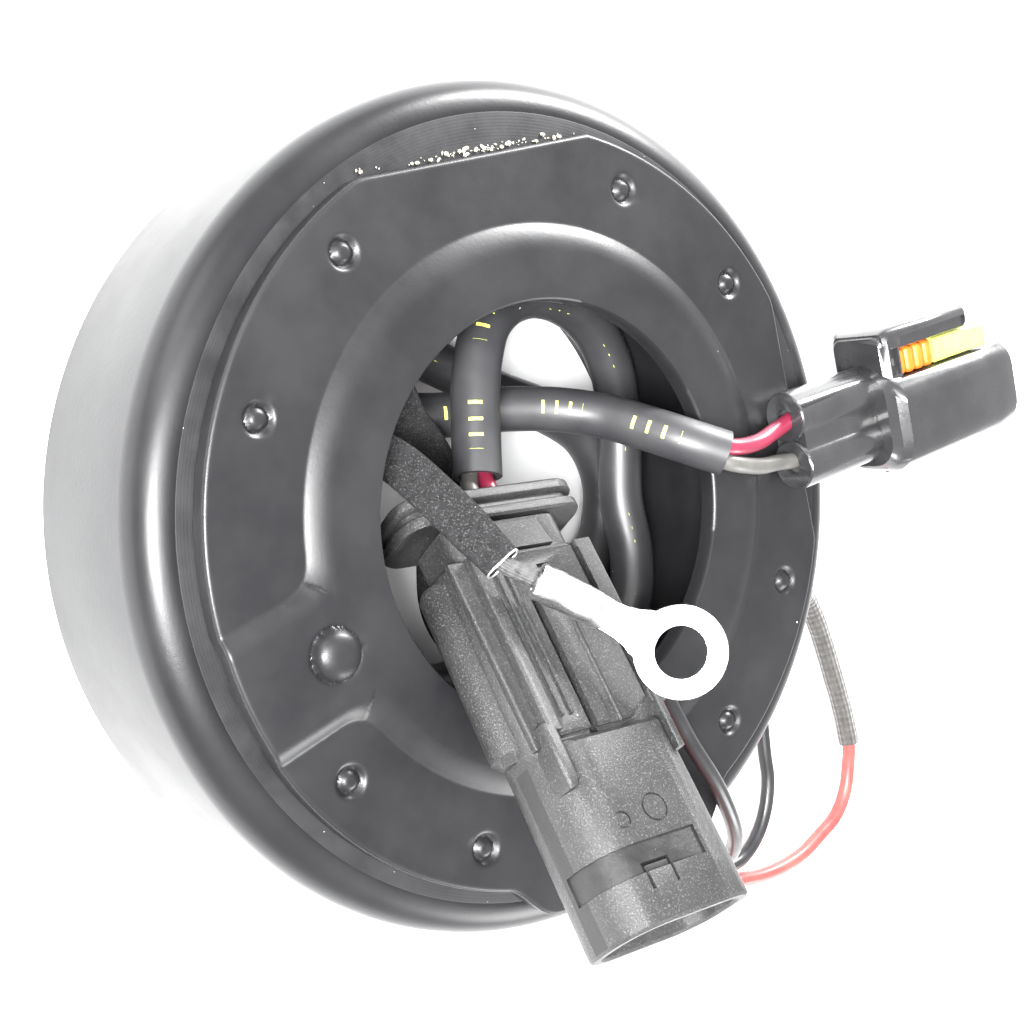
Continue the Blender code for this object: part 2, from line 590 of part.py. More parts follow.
def plug_connector():
    """The small connector: housing with two cable necks, seal, lock and contacts."""
    frame = plug_frame()
    body = rounded(6.5, 6.0, 4.0, (-1.5, 0.0))
    front = rounded(6.2, 5.6, 3.6, (-1.5, 0.0))
    cavity = rounded(4.8, 4.3, 1.4, (-1.5, 0.0))
    housing = loft("plug_housing", stations(
        (26.0, cavity), (PLUG_END, cavity), (PLUG_END, front), (PLUG_END - 3.0, body),
        (PLUG_NECK_END + 0.5, body), (PLUG_NECK_END - 1.5, rounded(5.9, 4.4, 3.0, (-0.8, 0))),
    ), "plug_nylon", frame)
    spread = PLUG_NECK_SPREAD
    for side, label in ((1, "a"), (-1, "b")):
        neck = rod(
            f"neck_{label}", (0, side * spread, 0), (PLUG_NECK_END, side * spread, 0),
            PLUG_NECK_RADIUS, None, frame, 16,
        )
        combine(housing, neck, "UNION")
    added = [
        box("hood", (10.6, 7.4, -4.6), (32.0, 10.2, 4.6), None, frame),
        box("hood_web", (10.6, 3.0, -3.4), (16.4, 8.0, 3.4), None, frame),
        box("hood_side", (15.0, 3.0, -4.6), (32.0, 8.0, -3.2), None, frame),
    ]
    for helper in added:
        combine(housing, helper, "UNION")
    for side, label in ((1, "a"), (-1, "b")):
        bore = rod(
            f"wire_bore_{label}", (-1, side * spread, 0), (4.2, side * spread, 0),
            WIRE_SEAL_RADIUS + GAP, None, frame, 12,
        )
        combine(housing, bore, "DIFFERENCE")
        rod(
            f"plug_wire_seal_{label}", (0.7, side * spread, 0), (4.2 - GAP, side * spread, 0),
            WIRE_SEAL_RADIUS, "black_rubber", frame, 12,
        )
        contact = (-1.5 + side * 2.3, 0.0)
        loft(f"plug_contact_{label}", stations(
            (26.0 + GAP, rounded(1.2, 1.6, 0.3, contact, 2)),
            (PLUG_END - 7.5, rounded(1.2, 1.6, 0.3, contact, 2)),
        ), "tin", frame)

    low, high = 5.3, 7.4 - GAP
    ribs, half = [], (high - low) / 2
    for i in range(4):
        at = 17.0 + 1.85 * i
        for x, trim in ((at, 0.3), (at + 0.3, 0.0), (at + 1.1, 0.0), (at + 1.4, 0.3)):
            ribs.append((x, rounded(half - trim / 2, 3.2 - trim, 0.5, (low + half, 0.4), 2)))
    loft("plug_seal", stations(*ribs), "orange_silicone", frame)

    travel_start = 25.6
    lock = loft("secondary_lock", stations(
        (0.0, rounded(half, 3.0, 0.3, (0, 0), 2)), (7.0, rounded(half, 3.0, 0.3, (0, 0), 2)),
        (7.8, rounded(half, 3.6, 0.3, (0, 0), 2)), (10.9, rounded(half, 3.6, 0.3, (0, 0), 2)),
    ), "yellow_nylon")
    lock.matrix_world = frame @ Matrix.Translation((travel_start, low + half, 0.4))
    lock.location = lock.location * MM


def connector_wires():
    """The short lengths of grey and red wire that show at each connector."""
    socket = socket_frame()
    rear = NECK_END + GAP + COVER_LENGTH + GAP
    for name, y, look in (("grey", 0.9, "grey_insulation"), ("red", -1.6, "rose_insulation")):
        rod(
            f"socket_{name}_wire", (rear, y, 2.4), (rear + 1.3, y, 2.4),
            HARNESS_WIRE / 2, look, socket,
        )
    plug = plug_frame()
    ends = {"red": ((-10.0, 2.1, 0.8), (-6.0, 1.5, 0.7), (-2.5, 1.9, 0.2), (-0.3, 2.4, 0.0)),
            "grey": ((-10.5, -0.3, 0.8), (-6.0, -1.4, 0.6), (-2.5, -1.9, 0.1), (-0.3, -2.2, 0.0))}
    for name, look in (("red", "rose_insulation"), ("grey", "grey_insulation")):
        route = [plug @ Vector(p) for p in ends[name]]
        cord(f"plug_{name}_wire", route, HARNESS_WIRE, look, 2.0)


def harness():
    """Sleeves, leads and the earth branch."""
    cord("sleeve_long", SLEEVE_LONG_ROUTE, LONG_SLEEVE, "black_pvc", 3.6, 3)
    cord("sleeve_short", SLEEVE_SHORT_ROUTE, SHORT_SLEEVE, "black_pvc", 3.4, 3)
    cord("heat_sleeve", HEAT_SLEEVE_ROUTE, HEAT_SLEEVE, "glass_braid", 3.2)
    cord("red_lead", RED_LEAD_ROUTE, LEAD, "red_insulation", 3.4)
    cord("black_lead", BLACK_LEAD_ROUTE, LEAD, "black_pvc", 3.4)
    felt_sleeve()
    splice_bundle()
    lead_grommet()
    start = Vector(TERMINAL_START)
    toward = (start - Vector(FELT_ROUTE[-1])).normalized()
    along = (Vector(TERMINAL_RING) - start).normalized()
    felt_end = Vector(FELT_ROUTE[-1]) + toward * 1.5
    route = [felt_end, start - along * 1.8, start - along * 0.5]
    cord("ground_wire", route, GROUND_WIRE, "black_rubber", 1.5)
    ring_terminal()


def main():
    """Builds the coil, then the harness and its connectors."""
    for leftover in list(bpy.data.objects):
        bpy.data.objects.remove(leftover)
    coil_shell()
    coil_inside()
    mounting_plate()
    harness()
    socket_connector()
    plug_connector()
    connector_wires()


if __name__ == "__main__":
    main()
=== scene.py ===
"""Looks of the clutch field coil and its wiring harness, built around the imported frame.

Every length in this file is in millimetres unless its name says otherwise, and each mesh
is scaled to metres when its object is made.
"""

from __future__ import annotations

import json
import logging
import math
from dataclasses import dataclass, field
from enum import Enum

import bmesh
import bpy
from mathutils import Matrix, Vector

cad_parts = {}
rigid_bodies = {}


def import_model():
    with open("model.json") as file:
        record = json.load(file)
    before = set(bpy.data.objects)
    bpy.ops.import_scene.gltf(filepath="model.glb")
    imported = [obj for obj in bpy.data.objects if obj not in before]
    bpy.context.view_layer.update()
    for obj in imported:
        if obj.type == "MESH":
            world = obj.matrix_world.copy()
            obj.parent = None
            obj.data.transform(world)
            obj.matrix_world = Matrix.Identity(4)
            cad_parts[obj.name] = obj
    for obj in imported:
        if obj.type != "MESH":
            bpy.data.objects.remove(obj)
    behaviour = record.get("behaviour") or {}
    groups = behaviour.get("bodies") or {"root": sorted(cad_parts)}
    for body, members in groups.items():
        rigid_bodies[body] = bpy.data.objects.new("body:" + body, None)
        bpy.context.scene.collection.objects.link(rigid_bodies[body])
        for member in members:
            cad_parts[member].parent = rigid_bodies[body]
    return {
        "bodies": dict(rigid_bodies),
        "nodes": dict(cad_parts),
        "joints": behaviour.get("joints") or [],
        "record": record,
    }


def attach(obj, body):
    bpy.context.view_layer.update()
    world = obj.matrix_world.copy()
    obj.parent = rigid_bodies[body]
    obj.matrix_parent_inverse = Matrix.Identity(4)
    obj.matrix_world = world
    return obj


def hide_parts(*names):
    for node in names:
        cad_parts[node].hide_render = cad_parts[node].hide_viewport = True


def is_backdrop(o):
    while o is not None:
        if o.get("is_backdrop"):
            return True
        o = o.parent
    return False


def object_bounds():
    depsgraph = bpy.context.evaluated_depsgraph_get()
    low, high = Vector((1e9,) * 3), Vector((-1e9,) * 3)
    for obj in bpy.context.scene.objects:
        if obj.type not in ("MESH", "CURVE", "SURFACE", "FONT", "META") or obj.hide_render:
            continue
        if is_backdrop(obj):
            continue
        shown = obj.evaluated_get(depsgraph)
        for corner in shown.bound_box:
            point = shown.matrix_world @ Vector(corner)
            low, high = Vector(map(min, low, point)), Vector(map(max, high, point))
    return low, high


MM = 0.001
BODY = "coil"
LOCK_BODY = "lock"
Point = tuple[float, float, float]
Colour = tuple[float, float, float]
log = logging.getLogger("coil")


# --------------------------------------------------------------------------- geometry


def rig(origin: Point | Vector, along: Point | Vector, up: Point | Vector) -> Matrix:
    """Makes a frame with X along one direction and Z as near another as it can be.

    Args:
        origin: Where the frame stands.
        along: Direction of its X axis.
        up: Direction that its Z axis leans towards.

    Returns:
        The frame's matrix, in millimetres.
    """
    x = Vector(along).normalized()
    y = Vector(up).cross(x).normalized()
    made = Matrix((x, y, x.cross(y))).transposed().to_4x4()
    made.translation = Vector(origin)
    return made


def ease(value: float) -> float:
    """Returns a smooth step from 0 to 1."""
    value = min(1.0, max(0.0, value))
    return value * value * (3 - 2 * value)


def spread(route: list[Point], spacing: float) -> list[Vector]:
    """Spaces points evenly on a centripetal Catmull-Rom curve through a route.

    Args:
        route: The points that the curve runs through.
        spacing: Distance between the points returned.

    Returns:
        The evenly spaced points, both ends included.
    """
    ends = [2 * Vector(route[0]) - Vector(route[1])]
    ends += [Vector(p) for p in route] + [2 * Vector(route[-1]) - Vector(route[-2])]
    fine: list[Vector] = []
    for a, b, c, d in zip(ends, ends[1:], ends[2:], ends[3:]):
        t1 = (b - a).length ** 0.5
        t2 = t1 + (c - b).length ** 0.5
        t3 = t2 + (d - c).length ** 0.5
        for step in range(16):
            t = t1 + (t2 - t1) * step / 16
            ab, bc = a.lerp(b, t / t1), b.lerp(c, (t - t1) / (t2 - t1))
            cd = c.lerp(d, (t - t2) / (t3 - t2))
            abc, bcd = ab.lerp(bc, t / t2), bc.lerp(cd, (t - t1) / (t3 - t1))
            fine.append(abc.lerp(bcd, (t - t1) / (t2 - t1)))
    fine.append(ends[-2])
    lengths = [0.0]
    for here, there in zip(fine, fine[1:]):
        lengths.append(lengths[-1] + (there - here).length)
    count = max(2, round(lengths[-1] / spacing) + 1)
    even, at = [], 0
    for i in range(count):
        want = lengths[-1] * i / (count - 1)
        while at < len(lengths) - 2 and lengths[at + 1] < want:
            at += 1
        part = (want - lengths[at]) / (lengths[at + 1] - lengths[at])
        even.append(fine[at].lerp(fine[at + 1], min(1.0, part)))
    return even


def length_of(line: list[Vector]) -> float:
    """Returns the length of a line of points."""
    return sum((b - a).length for a, b in zip(line, line[1:]))


def carried(line: list[Vector], up: Point | Vector) -> list[Matrix]:
    """Carries a frame along a line without letting it spin.

    Args:
        line: The points of the line.
        up: Direction that the first frame's Z axis leans towards.

    Returns:
        One frame for each point, with X along the line.
    """
    frames, lean = [], Vector(up)
    for i, point in enumerate(line):
        ahead = line[min(i + 1, len(line) - 1)] - line[max(i - 1, 0)]
        frame = rig(point, ahead, lean)
        lean = frame.to_3x3() @ Vector((0, 0, 1))
        frames.append(frame)
    return frames


def rounded(
    wide: float, tall: float, corner: float, centre: tuple[float, float] = (0, 0), steps: int = 6
) -> list[tuple[float, float]]:
    """Outlines a rounded rectangle, anticlockwise.

    Args:
        wide: Half of its width.
        tall: Half of its height.
        corner: Radius of its corners.
        centre: Where its middle is.
        steps: Points in each corner.

    Returns:
        The outline's points.
    """
    corner = min(corner, wide, tall)
    found = []
    for quarter in range(4):
        sx = 1 if quarter in (0, 3) else -1
        sy = 1 if quarter in (0, 1) else -1
        for step in range(steps):
            angle = (quarter + step / (steps - 1)) * math.pi / 2
            found.append((
                centre[0] + sx * (wide - corner) + corner * math.cos(angle),
                centre[1] + sy * (tall - corner) + corner * math.sin(angle),
            ))
    return found


def ring(radius: float, sides: int = 24, flat: float = 1.0) -> list[tuple[float, float]]:
    """Outlines a circle, or an ellipse that is lower than it is wide."""
    turns = [2 * math.pi * i / sides for i in range(sides)]
    return [(radius * math.cos(t), radius * flat * math.sin(t)) for t in turns]


def stations(*rows: tuple[float, list[tuple[float, float]]]) -> list[list[Point]]:
    """Places outlines of (y, z) at their own x."""
    return [[(x, y, z) for y, z in outline] for x, outline in rows]


@dataclass
class Form:
    """Points and faces of one mesh, in millimetres."""

    points: list[Vector] = field(default_factory=list)
    faces: list[list[int]] = field(default_factory=list)
    marks: list[tuple[float, float]] = field(default_factory=list)

    def loft(
        self, sections: list[list[Point]], frame: Matrix | None = None, caps: bool = True,
        loop: bool = False,
    ) -> Form:
        """Adds a skin through closed sections that have the same number of points.

        Args:
            sections: The closed sections in order.
            frame: Where the sections stand.
            caps: Whether the ends are closed.
            loop: Whether the last section joins the first.

        Returns:
            This form.
        """
        frame = frame or Matrix.Identity(4)
        start, count = len(self.points), len(sections[0])
        self.points += [frame @ Vector(p) for section in sections for p in section]
        rows = len(sections) if loop else len(sections) - 1
        for row in range(rows):
            low = start + row * count
            high = start + (row + 1) % len(sections) * count
            for i in range(count):
                j = (i + 1) % count
                self.faces.append([low + i, low + j, high + j, high + i])
        if caps and not loop:
            last = start + (len(sections) - 1) * count
            self.faces.append(list(range(start, start + count)))
            self.faces.append(list(range(last, last + count)))
        return self

    def lathe(
        self, profile: list[tuple[float, float]], steps: int = 192, frame: Matrix | None = None
    ) -> Form:
        """Adds a solid of revolution about Z from a closed profile of (radius, height)."""
        sections = []
        for step in range(steps):
            turn = 2 * math.pi * step / steps
            sections.append([(r * math.cos(turn), r * math.sin(turn), z) for r, z in profile])
        return self.loft(sections, frame, loop=True)

    def box(self, low: Point, high: Point, frame: Matrix | None = None) -> Form:
        """Adds a box between two corners."""
        outline = [(low[1], low[2]), (high[1], low[2]), (high[1], high[2]), (low[1], high[2])]
        return self.loft(stations((low[0], outline), (high[0], outline)), frame)

    def make(self, name: str, look: Finish | None, sharp: float = 35.0) -> bpy.types.Object:
        """Makes the object.

        Args:
            name: The object's name.
            look: Its finish, or None for a helper that is only a cutter.
            sharp: Angle in degrees over which an edge stays sharp.

        Returns:
            The new object, in metres.
        """
        shape = bmesh.new()
        corners = [shape.verts.new(p * MM) for p in self.points]
        for face in self.faces:
            shape.faces.new([corners[i] for i in face])
        bmesh.ops.recalc_face_normals(shape, faces=shape.faces)
        mesh = bpy.data.meshes.new(name)
        shape.to_mesh(mesh)
        shape.free()
        mesh.shade_smooth()
        mesh.set_sharp_from_angle(angle=math.radians(sharp))
        if self.marks:
            layer = mesh.uv_layers.new(name="Cord")
            for loop in mesh.loops:
                layer.data[loop.index].uv = self.marks[loop.vertex_index]
        made = bpy.data.objects.new(name, mesh)
        bpy.context.scene.collection.objects.link(made)
        if look:
            made.data.materials.append(look.material())
        return made


def tube(
    line: list[Vector], outline: list[tuple[float, float]], up: Point = (0, 0, 1),
    wall: float = 0.0, depth: int = 3, swell: float = 0.0, facing: Point | None = None,
) -> Form:
    """Makes a tube, open at both ends where it has a wall.

    Args:
        line: Its centreline.
        outline: Its section, as (y, z).
        up: Direction that the section's z leans towards at the start.
        wall: Thickness of its wall, or 0 for a solid cord.
        depth: How many stations deep its open ends are.
        swell: How far the surface waves in and out along the cord.
        facing: Direction that a print faces near the end of the cord.

    Returns:
        The form, with marks of (turn round the cord, distance along it).
    """
    form, frames, run = Form(), carried(line, up), 0.0
    count, sections = len(outline), []
    reach = max(math.hypot(y, z) for y, z in outline)
    inner = [(y * (1 - wall / reach), z * (1 - wall / reach)) for y, z in outline]
    shift = 0.0
    if facing:
        seen = frames[-16].to_3x3().transposed() @ Vector(facing)
        shift = 0.25 - math.atan2(seen.z, seen.y) / (2 * math.pi)

    def add(frame: Matrix, shape: list[tuple[float, float]], away: float, grow: float) -> None:
        """Adds one section and its marks."""
        sections.append([frame @ Vector((0, y * grow, z * grow)) for y, z in shape])
        form.marks.extend(((i / count + shift) % 1.0, away) for i in range(count))

    if wall:
        for i in range(min(depth, len(frames) // 3), 0, -1):
            add(frames[i], inner, 0.0, 1.0)
        add(frames[0], inner, 0.0, 1.0)
    for i, frame in enumerate(frames):
        if i:
            run += (line[i] - line[i - 1]).length
        add(frame, outline, run, 1.0 + swell * math.sin(run * 0.9) * math.sin(run * 0.37))
    if wall:
        add(frames[-1], inner, run, 1.0)
        for i in range(1, min(depth, len(frames) // 3) + 1):
            add(frames[-1 - i], inner, run, 1.0)
    return form.loft(sections)


def combined(
    target: bpy.types.Object, joined: list[Form], cut: list[Form], bevel: float = 0.25,
    angle: float = 34.0, segments: int = 2,
) -> bpy.types.Object:
    """Joins and cuts helper shapes into an object, then rounds its edges.

    Args:
        target: The object that is changed.
        joined: Shapes that are added to it.
        cut: Shapes that are taken from it.
        bevel: Width of the rounding along its edges.
        angle: Edges sharper than this, in degrees, are rounded.
        segments: Steps in the rounding.

    Returns:
        The same object with its new mesh.
    """
    helpers = []
    for forms, operation in ((joined, "UNION"), (cut, "DIFFERENCE")):
        for form in forms:
            helper = form.make(f"{target.name}_helper", None)
            step = target.modifiers.new("shape", "BOOLEAN")
            step.operation, step.object, step.solver = operation, helper, "EXACT"
            helpers.append(helper)
    if bevel:
        step = target.modifiers.new("edges", "BEVEL")
        step.width, step.segments = bevel * MM, segments
        step.limit_method, step.angle_limit = "ANGLE", math.radians(angle)
        step.harden_normals = False
    bpy.context.view_layer.update()
    graph = bpy.context.evaluated_depsgraph_get()
    baked = bpy.data.meshes.new_from_object(target.evaluated_get(graph))
    target.modifiers.clear()
    target.data = baked
    baked.shade_smooth()
    baked.set_sharp_from_angle(angle=math.radians(40))
    for helper in helpers:
        bpy.data.objects.remove(helper)
    return target


# --------------------------------------------------------------------------- finishes


class Weave(Enum):
    """Patterns that a finish can have over its grain."""

    NONE = "none"
    TURNED = "turned"
    BRAID = "braid"
    FELTED = "felted"
    WOUND = "wound"
    PRINTED = "printed"


def new_group(name: str, inputs: dict[str, float], outputs: dict[str, str]):
    """Makes a shader node group with a vector input and named sockets.

    Args:
        name: The group's name.
        inputs: Float inputs with their default values.
        outputs: Outputs with their socket types.

    Returns:
        The group, its input node and its output node.
    """
    group = bpy.data.node_groups.new(name, "ShaderNodeTree")
    group.interface.new_socket("Vector", in_out="INPUT", socket_type="NodeSocketVector")
    for label, value in inputs.items():
        made = group.interface.new_socket(label, in_out="INPUT", socket_type="NodeSocketFloat")
        made.default_value = value
    for label, kind in outputs.items():
        group.interface.new_socket(label, in_out="OUTPUT", socket_type=kind)
    return group, group.nodes.new("NodeGroupInput"), group.nodes.new("NodeGroupOutput")


class Wiring:
    """Short ways to place and join nodes in one tree."""

    def __init__(self, tree: bpy.types.NodeTree) -> None:
        """Keeps the tree."""
        self.tree = tree

    def put(self, kind: str, **settings: object) -> bpy.types.Node:
        """Adds a node and sets its properties, with inputs given by name in a dict."""
        node = self.tree.nodes.new(kind)
        for label, value in dict(settings.pop("values", {})).items():
            node.inputs[label].default_value = value
        for label, value in settings.items():
            setattr(node, label, value)
        return node

    def join(self, source: bpy.types.NodeSocket, target: bpy.types.NodeSocket) -> None:
        """Links two sockets."""
        self.tree.links.new(source, target)

    def math(self, operation: str, first: object, second: object = 0.5) -> bpy.types.NodeSocket:
        """Adds a Math node whose inputs are sockets or numbers, and returns its output."""
        node = self.put("ShaderNodeMath", operation=operation)
        for slot, value in zip(node.inputs, (first, second)):
            if isinstance(value, (int, float)):
                slot.default_value = value
            else:
                self.join(value, slot)
        return node.outputs[0]


def mottle_group() -> bpy.types.NodeTree:
    """Makes the group of soft patches and fine grain that every finish uses."""
    name = "Mottle and grain"
    if name in bpy.data.node_groups:
        return bpy.data.node_groups[name]
    group, entry, end = new_group(
        name, {"Patch Size": 8.0, "Grain Size": 0.4},
        {"Patches": "NodeSocketFloat", "Grain": "NodeSocketFloat"},
    )
    wire = Wiring(group)
    for label, size, detail, sharp in (("Patches", "Patch Size", 4.0, 0.6), ("Grain", "Grain Size", 3.0, 0.7)):
        scale = wire.math("DIVIDE", 1000.0, entry.outputs[size])
        noise = wire.put("ShaderNodeTexNoise", values={"Detail": detail, "Roughness": sharp})
        wire.join(entry.outputs["Vector"], noise.inputs["Vector"])
        wire.join(scale, noise.inputs["Scale"])
        wire.join(noise.outputs[0], end.inputs[label])
    return group


def dust_group() -> bpy.types.NodeTree:
    """Makes the group of sparse pale dust specks and faint scuffs."""
    name = "Dust and scuffs"
    if name in bpy.data.node_groups:
        return bpy.data.node_groups[name]
    group, entry, end = new_group(
        name, {"Speck Spacing": 5.0, "Amount": 0.1},
        {"Specks": "NodeSocketFloat", "Scuffs": "NodeSocketFloat"},
    )
    wire = Wiring(group)
    scale = wire.math("DIVIDE", 1000.0, entry.outputs["Speck Spacing"])
    cells = wire.put("ShaderNodeTexVoronoi", feature="F1")
    wire.join(entry.outputs["Vector"], cells.inputs["Vector"])
    wire.join(scale, cells.inputs["Scale"])
    split = wire.put("ShaderNodeSeparateColor")
    wire.join(cells.outputs["Color"], split.inputs[0])
    near = wire.math("LESS_THAN", cells.outputs["Distance"], 0.045)
    rare = wire.math("LESS_THAN", split.outputs[0], entry.outputs["Amount"])
    wire.join(wire.math("MULTIPLY", near, rare), end.inputs["Specks"])
    stretch = wire.put("ShaderNodeMapping", values={"Scale": (60.0, 900.0, 700.0), "Rotation": (0.3, 0.5, 0.9)})
    wire.join(entry.outputs["Vector"], stretch.inputs["Vector"])
    streaks = wire.put("ShaderNodeTexNoise", values={"Scale": 1.0, "Detail": 3.0})
    wire.join(stretch.outputs[0], streaks.inputs["Vector"])
    scuffs = wire.math("GREATER_THAN", streaks.outputs[0], 0.80)
    wire.join(wire.math("MULTIPLY", scuffs, entry.outputs["Amount"]), end.inputs["Scuffs"])
    return group


@dataclass(frozen=True)
class Finish:
    """One finish: its colours, gloss, grain and pattern."""

    name: str
    slot: str
    colour: Colour
    second: Colour
    rough: tuple[float, float]
    metallic: float = 0.0
    coat: float = 0.0
    coat_rough: float = 0.1
    specular: float = 0.5
    sheen: float = 0.0
    patch: float = 9.0
    grain: float = 0.4
    bump: float = 0.05
    dust: float = 0.0
    dust_spacing: float = 5.0
    sparkle: float = 0.0
    weave: Weave = Weave.NONE
    ink: Colour = (0.75, 0.78, 0.12)

    def material(self) -> bpy.types.Material:
        """Returns the finish's material, made once."""
        if self.name in bpy.data.materials:
            return bpy.data.materials[self.name]
        made = bpy.data.materials.new(self.name)
        made.use_nodes = True
        tree = made.node_tree
        tree.nodes.clear()
        wire = Wiring(tree)
        out = wire.put("ShaderNodeOutputMaterial")
        shader = wire.put("ShaderNodeBsdfPrincipled", values={
            "Metallic": self.metallic, "Coat Weight": self.coat,
            "Coat Roughness": self.coat_rough, "Specular IOR Level": self.specular,
            "Sheen Weight": self.sheen,
        })
        wire.join(shader.outputs[0], out.inputs[0])
        place = wire.put("ShaderNodeTexCoord")
        body = wire.put("ShaderNodeGroup", node_tree=mottle_group())
        body.inputs["Patch Size"].default_value = self.patch
        body.inputs["Grain Size"].default_value = self.grain
        wire.join(place.outputs["Object"], body.inputs["Vector"])
        tones = self.ramp(wire, body.outputs["Patches"], self.colour, self.second)
        gloss = wire.put("ShaderNodeMapRange", values={
            "From Min": 0.35, "From Max": 0.65,
            "To Min": self.rough[0], "To Max": self.rough[1],
        })
        wire.join(body.outputs["Patches"], gloss.inputs[0])
        colour, height, strength = tones, body.outputs["Grain"], self.bump
        colour, height = self.pattern(wire, place, colour, height)
        if self.sparkle:
            bright = wire.put("ShaderNodeMapRange", values={
                "From Min": 0.55, "From Max": 0.78, "To Min": 0.0, "To Max": self.sparkle,
            })
            wire.join(body.outputs["Grain"], bright.inputs[0])
            colour = self.mix(wire, bright.outputs[0], colour, (0.45, 0.45, 0.45))
        if self.dust:
            dust = wire.put("ShaderNodeGroup", node_tree=dust_group())
            dust.inputs["Speck Spacing"].default_value = self.dust_spacing
            dust.inputs["Amount"].default_value = self.dust
            wire.join(place.outputs["Object"], dust.inputs["Vector"])
            both = wire.math("MAXIMUM", dust.outputs["Specks"], dust.outputs["Scuffs"])
            colour = self.mix(wire, both, colour, (0.5, 0.5, 0.48))
        wire.join(colour, shader.inputs["Base Color"])
        wire.join(gloss.outputs[0], shader.inputs["Roughness"])
        bump = wire.put("ShaderNodeBump", values={"Strength": 1.0, "Distance": strength * MM})
        wire.join(height, bump.inputs["Height"])
        wire.join(bump.outputs[0], shader.inputs["Normal"])
        return made

    @staticmethod
    def ramp(
        wire: Wiring, source: bpy.types.NodeSocket, low: Colour, high: Colour
    ) -> bpy.types.NodeSocket:
        """Maps a noise value to a colour between two."""
        node = wire.put("ShaderNodeValToRGB")
        node.color_ramp.elements[0].position = 0.35
        node.color_ramp.elements[0].color = (*low, 1.0)
        node.color_ramp.elements[1].position = 0.65
        node.color_ramp.elements[1].color = (*high, 1.0)
        wire.join(source, node.inputs[0])
        return node.outputs[0]

    @staticmethod
    def mix(
        wire: Wiring, factor: bpy.types.NodeSocket, low: bpy.types.NodeSocket, high: Colour
    ) -> bpy.types.NodeSocket:
        """Mixes a colour socket with a plain colour."""
        node = wire.put("ShaderNodeMix", data_type="RGBA")
        node.inputs[7].default_value = (*high, 1.0)
        wire.join(factor, node.inputs[0])
        wire.join(low, node.inputs[6])
        return node.outputs[2]

    def pattern(
        self, wire: Wiring, place: bpy.types.Node, colour: bpy.types.NodeSocket,
        height: bpy.types.NodeSocket,
    ) -> tuple[bpy.types.NodeSocket, bpy.types.NodeSocket]:
        """Adds the finish's pattern to its colour and height.

        Args:
            wire: The material's tree.
            place: Its Texture Coordinate node.
            colour: The colour so far.
            height: The height so far.

        Returns:
            The new colour and the new height.
        """
        if self.weave in (Weave.NONE, Weave.FELTED):
            return colour, height
        if self.weave in (Weave.TURNED, Weave.WOUND):
            split = wire.put("ShaderNodeSeparateXYZ")
            wire.join(place.outputs["Object"], split.inputs[0])
            if self.weave is Weave.TURNED:
                squares = wire.math("ADD", wire.math("POWER", split.outputs[0], 2.0),
                                    wire.math("POWER", split.outputs[1], 2.0))
                across = wire.math("MULTIPLY", wire.math("SQRT", squares), 2 * math.pi / (0.35 * MM))
            else:
                across = wire.math("MULTIPLY", split.outputs[2], 2 * math.pi / (0.6 * MM))
            waves = wire.math("SINE", across)
            lines = wire.math("MULTIPLY", waves, 0.25)
            return colour, wire.math("ADD", height, lines)
        marks = wire.put("ShaderNodeUVMap", uv_map="Cord")
        split = wire.put("ShaderNodeSeparateXYZ")
        wire.join(marks.outputs[0], split.inputs[0])
        round_it, along = split.outputs[0], split.outputs[1]
        if self.weave is Weave.PRINTED:
            cycle = wire.math("FRACT", wire.math("DIVIDE", along, 12.5))
            inked = wire.math("LESS_THAN", cycle, 0.45)
            letter = wire.math("FRACT", wire.math("MULTIPLY", cycle, 6.7))
            dash = wire.math("LESS_THAN", letter, 0.20)
            off = wire.math("ABSOLUTE", wire.math("SUBTRACT", round_it, 0.25))
            line = wire.math("LESS_THAN", off, 0.046)
            mask = wire.math("MULTIPLY", wire.math("MULTIPLY", inked, dash), line)
            return self.mix(wire, mask, colour, self.ink), height
        turns, pitch = 16.0, 1.1
        one = wire.math("ADD", wire.math("MULTIPLY", round_it, turns * math.pi),
                        wire.math("MULTIPLY", along, math.pi / pitch))
        two = wire.math("SUBTRACT", wire.math("MULTIPLY", round_it, turns * math.pi),
                        wire.math("MULTIPLY", along, math.pi / pitch))
        cross = wire.math("MULTIPLY", wire.math("SINE", one), wire.math("SINE", two))
        lifted = wire.math("ADD", wire.math("MULTIPLY", cross, 0.5), 0.5)
        paler = tuple(min(1.0, c * 2.2 + 0.01) for c in self.second)
        faded = wire.math("MULTIPLY", lifted, wire.math("POWER", height, 2.0))
        return (self.mix(wire, faded, colour, paler), wire.math("ADD", height, lifted))


PAINT = Finish(
    "satin black paint", "black_paint", (0.007, 0.007, 0.008), (0.010, 0.010, 0.011),
    (0.34, 0.40), specular=0.30, coat=0.04, coat_rough=0.25, patch=14.0, grain=0.55,
    bump=0.016, dust=0.07, dust_spacing=3.4,
)
PAINT_PLATE = Finish(
    "stamped plate paint", "black_paint", (0.007, 0.007, 0.008), (0.011, 0.011, 0.012),
    (0.36, 0.43), specular=0.34, coat=0.05, coat_rough=0.3, patch=11.0, grain=0.5,
    bump=0.016, dust=0.11, dust_spacing=2.9,
)
PAINT_TURNED = Finish(
    "turned web under paint", "black_paint", (0.006, 0.006, 0.007), (0.010, 0.010, 0.011),
    (0.42, 0.55), specular=0.36, patch=4.0, grain=0.3, bump=0.006, dust=0.4,
    dust_spacing=1.1,
    weave=Weave.TURNED,
)
CRUMBS = Finish(
    "dry sealer crumbs", "black_paint", (0.20, 0.19, 0.15), (0.34, 0.32, 0.27), (0.7, 0.9),
    patch=1.0, grain=0.2, bump=0.03,
)
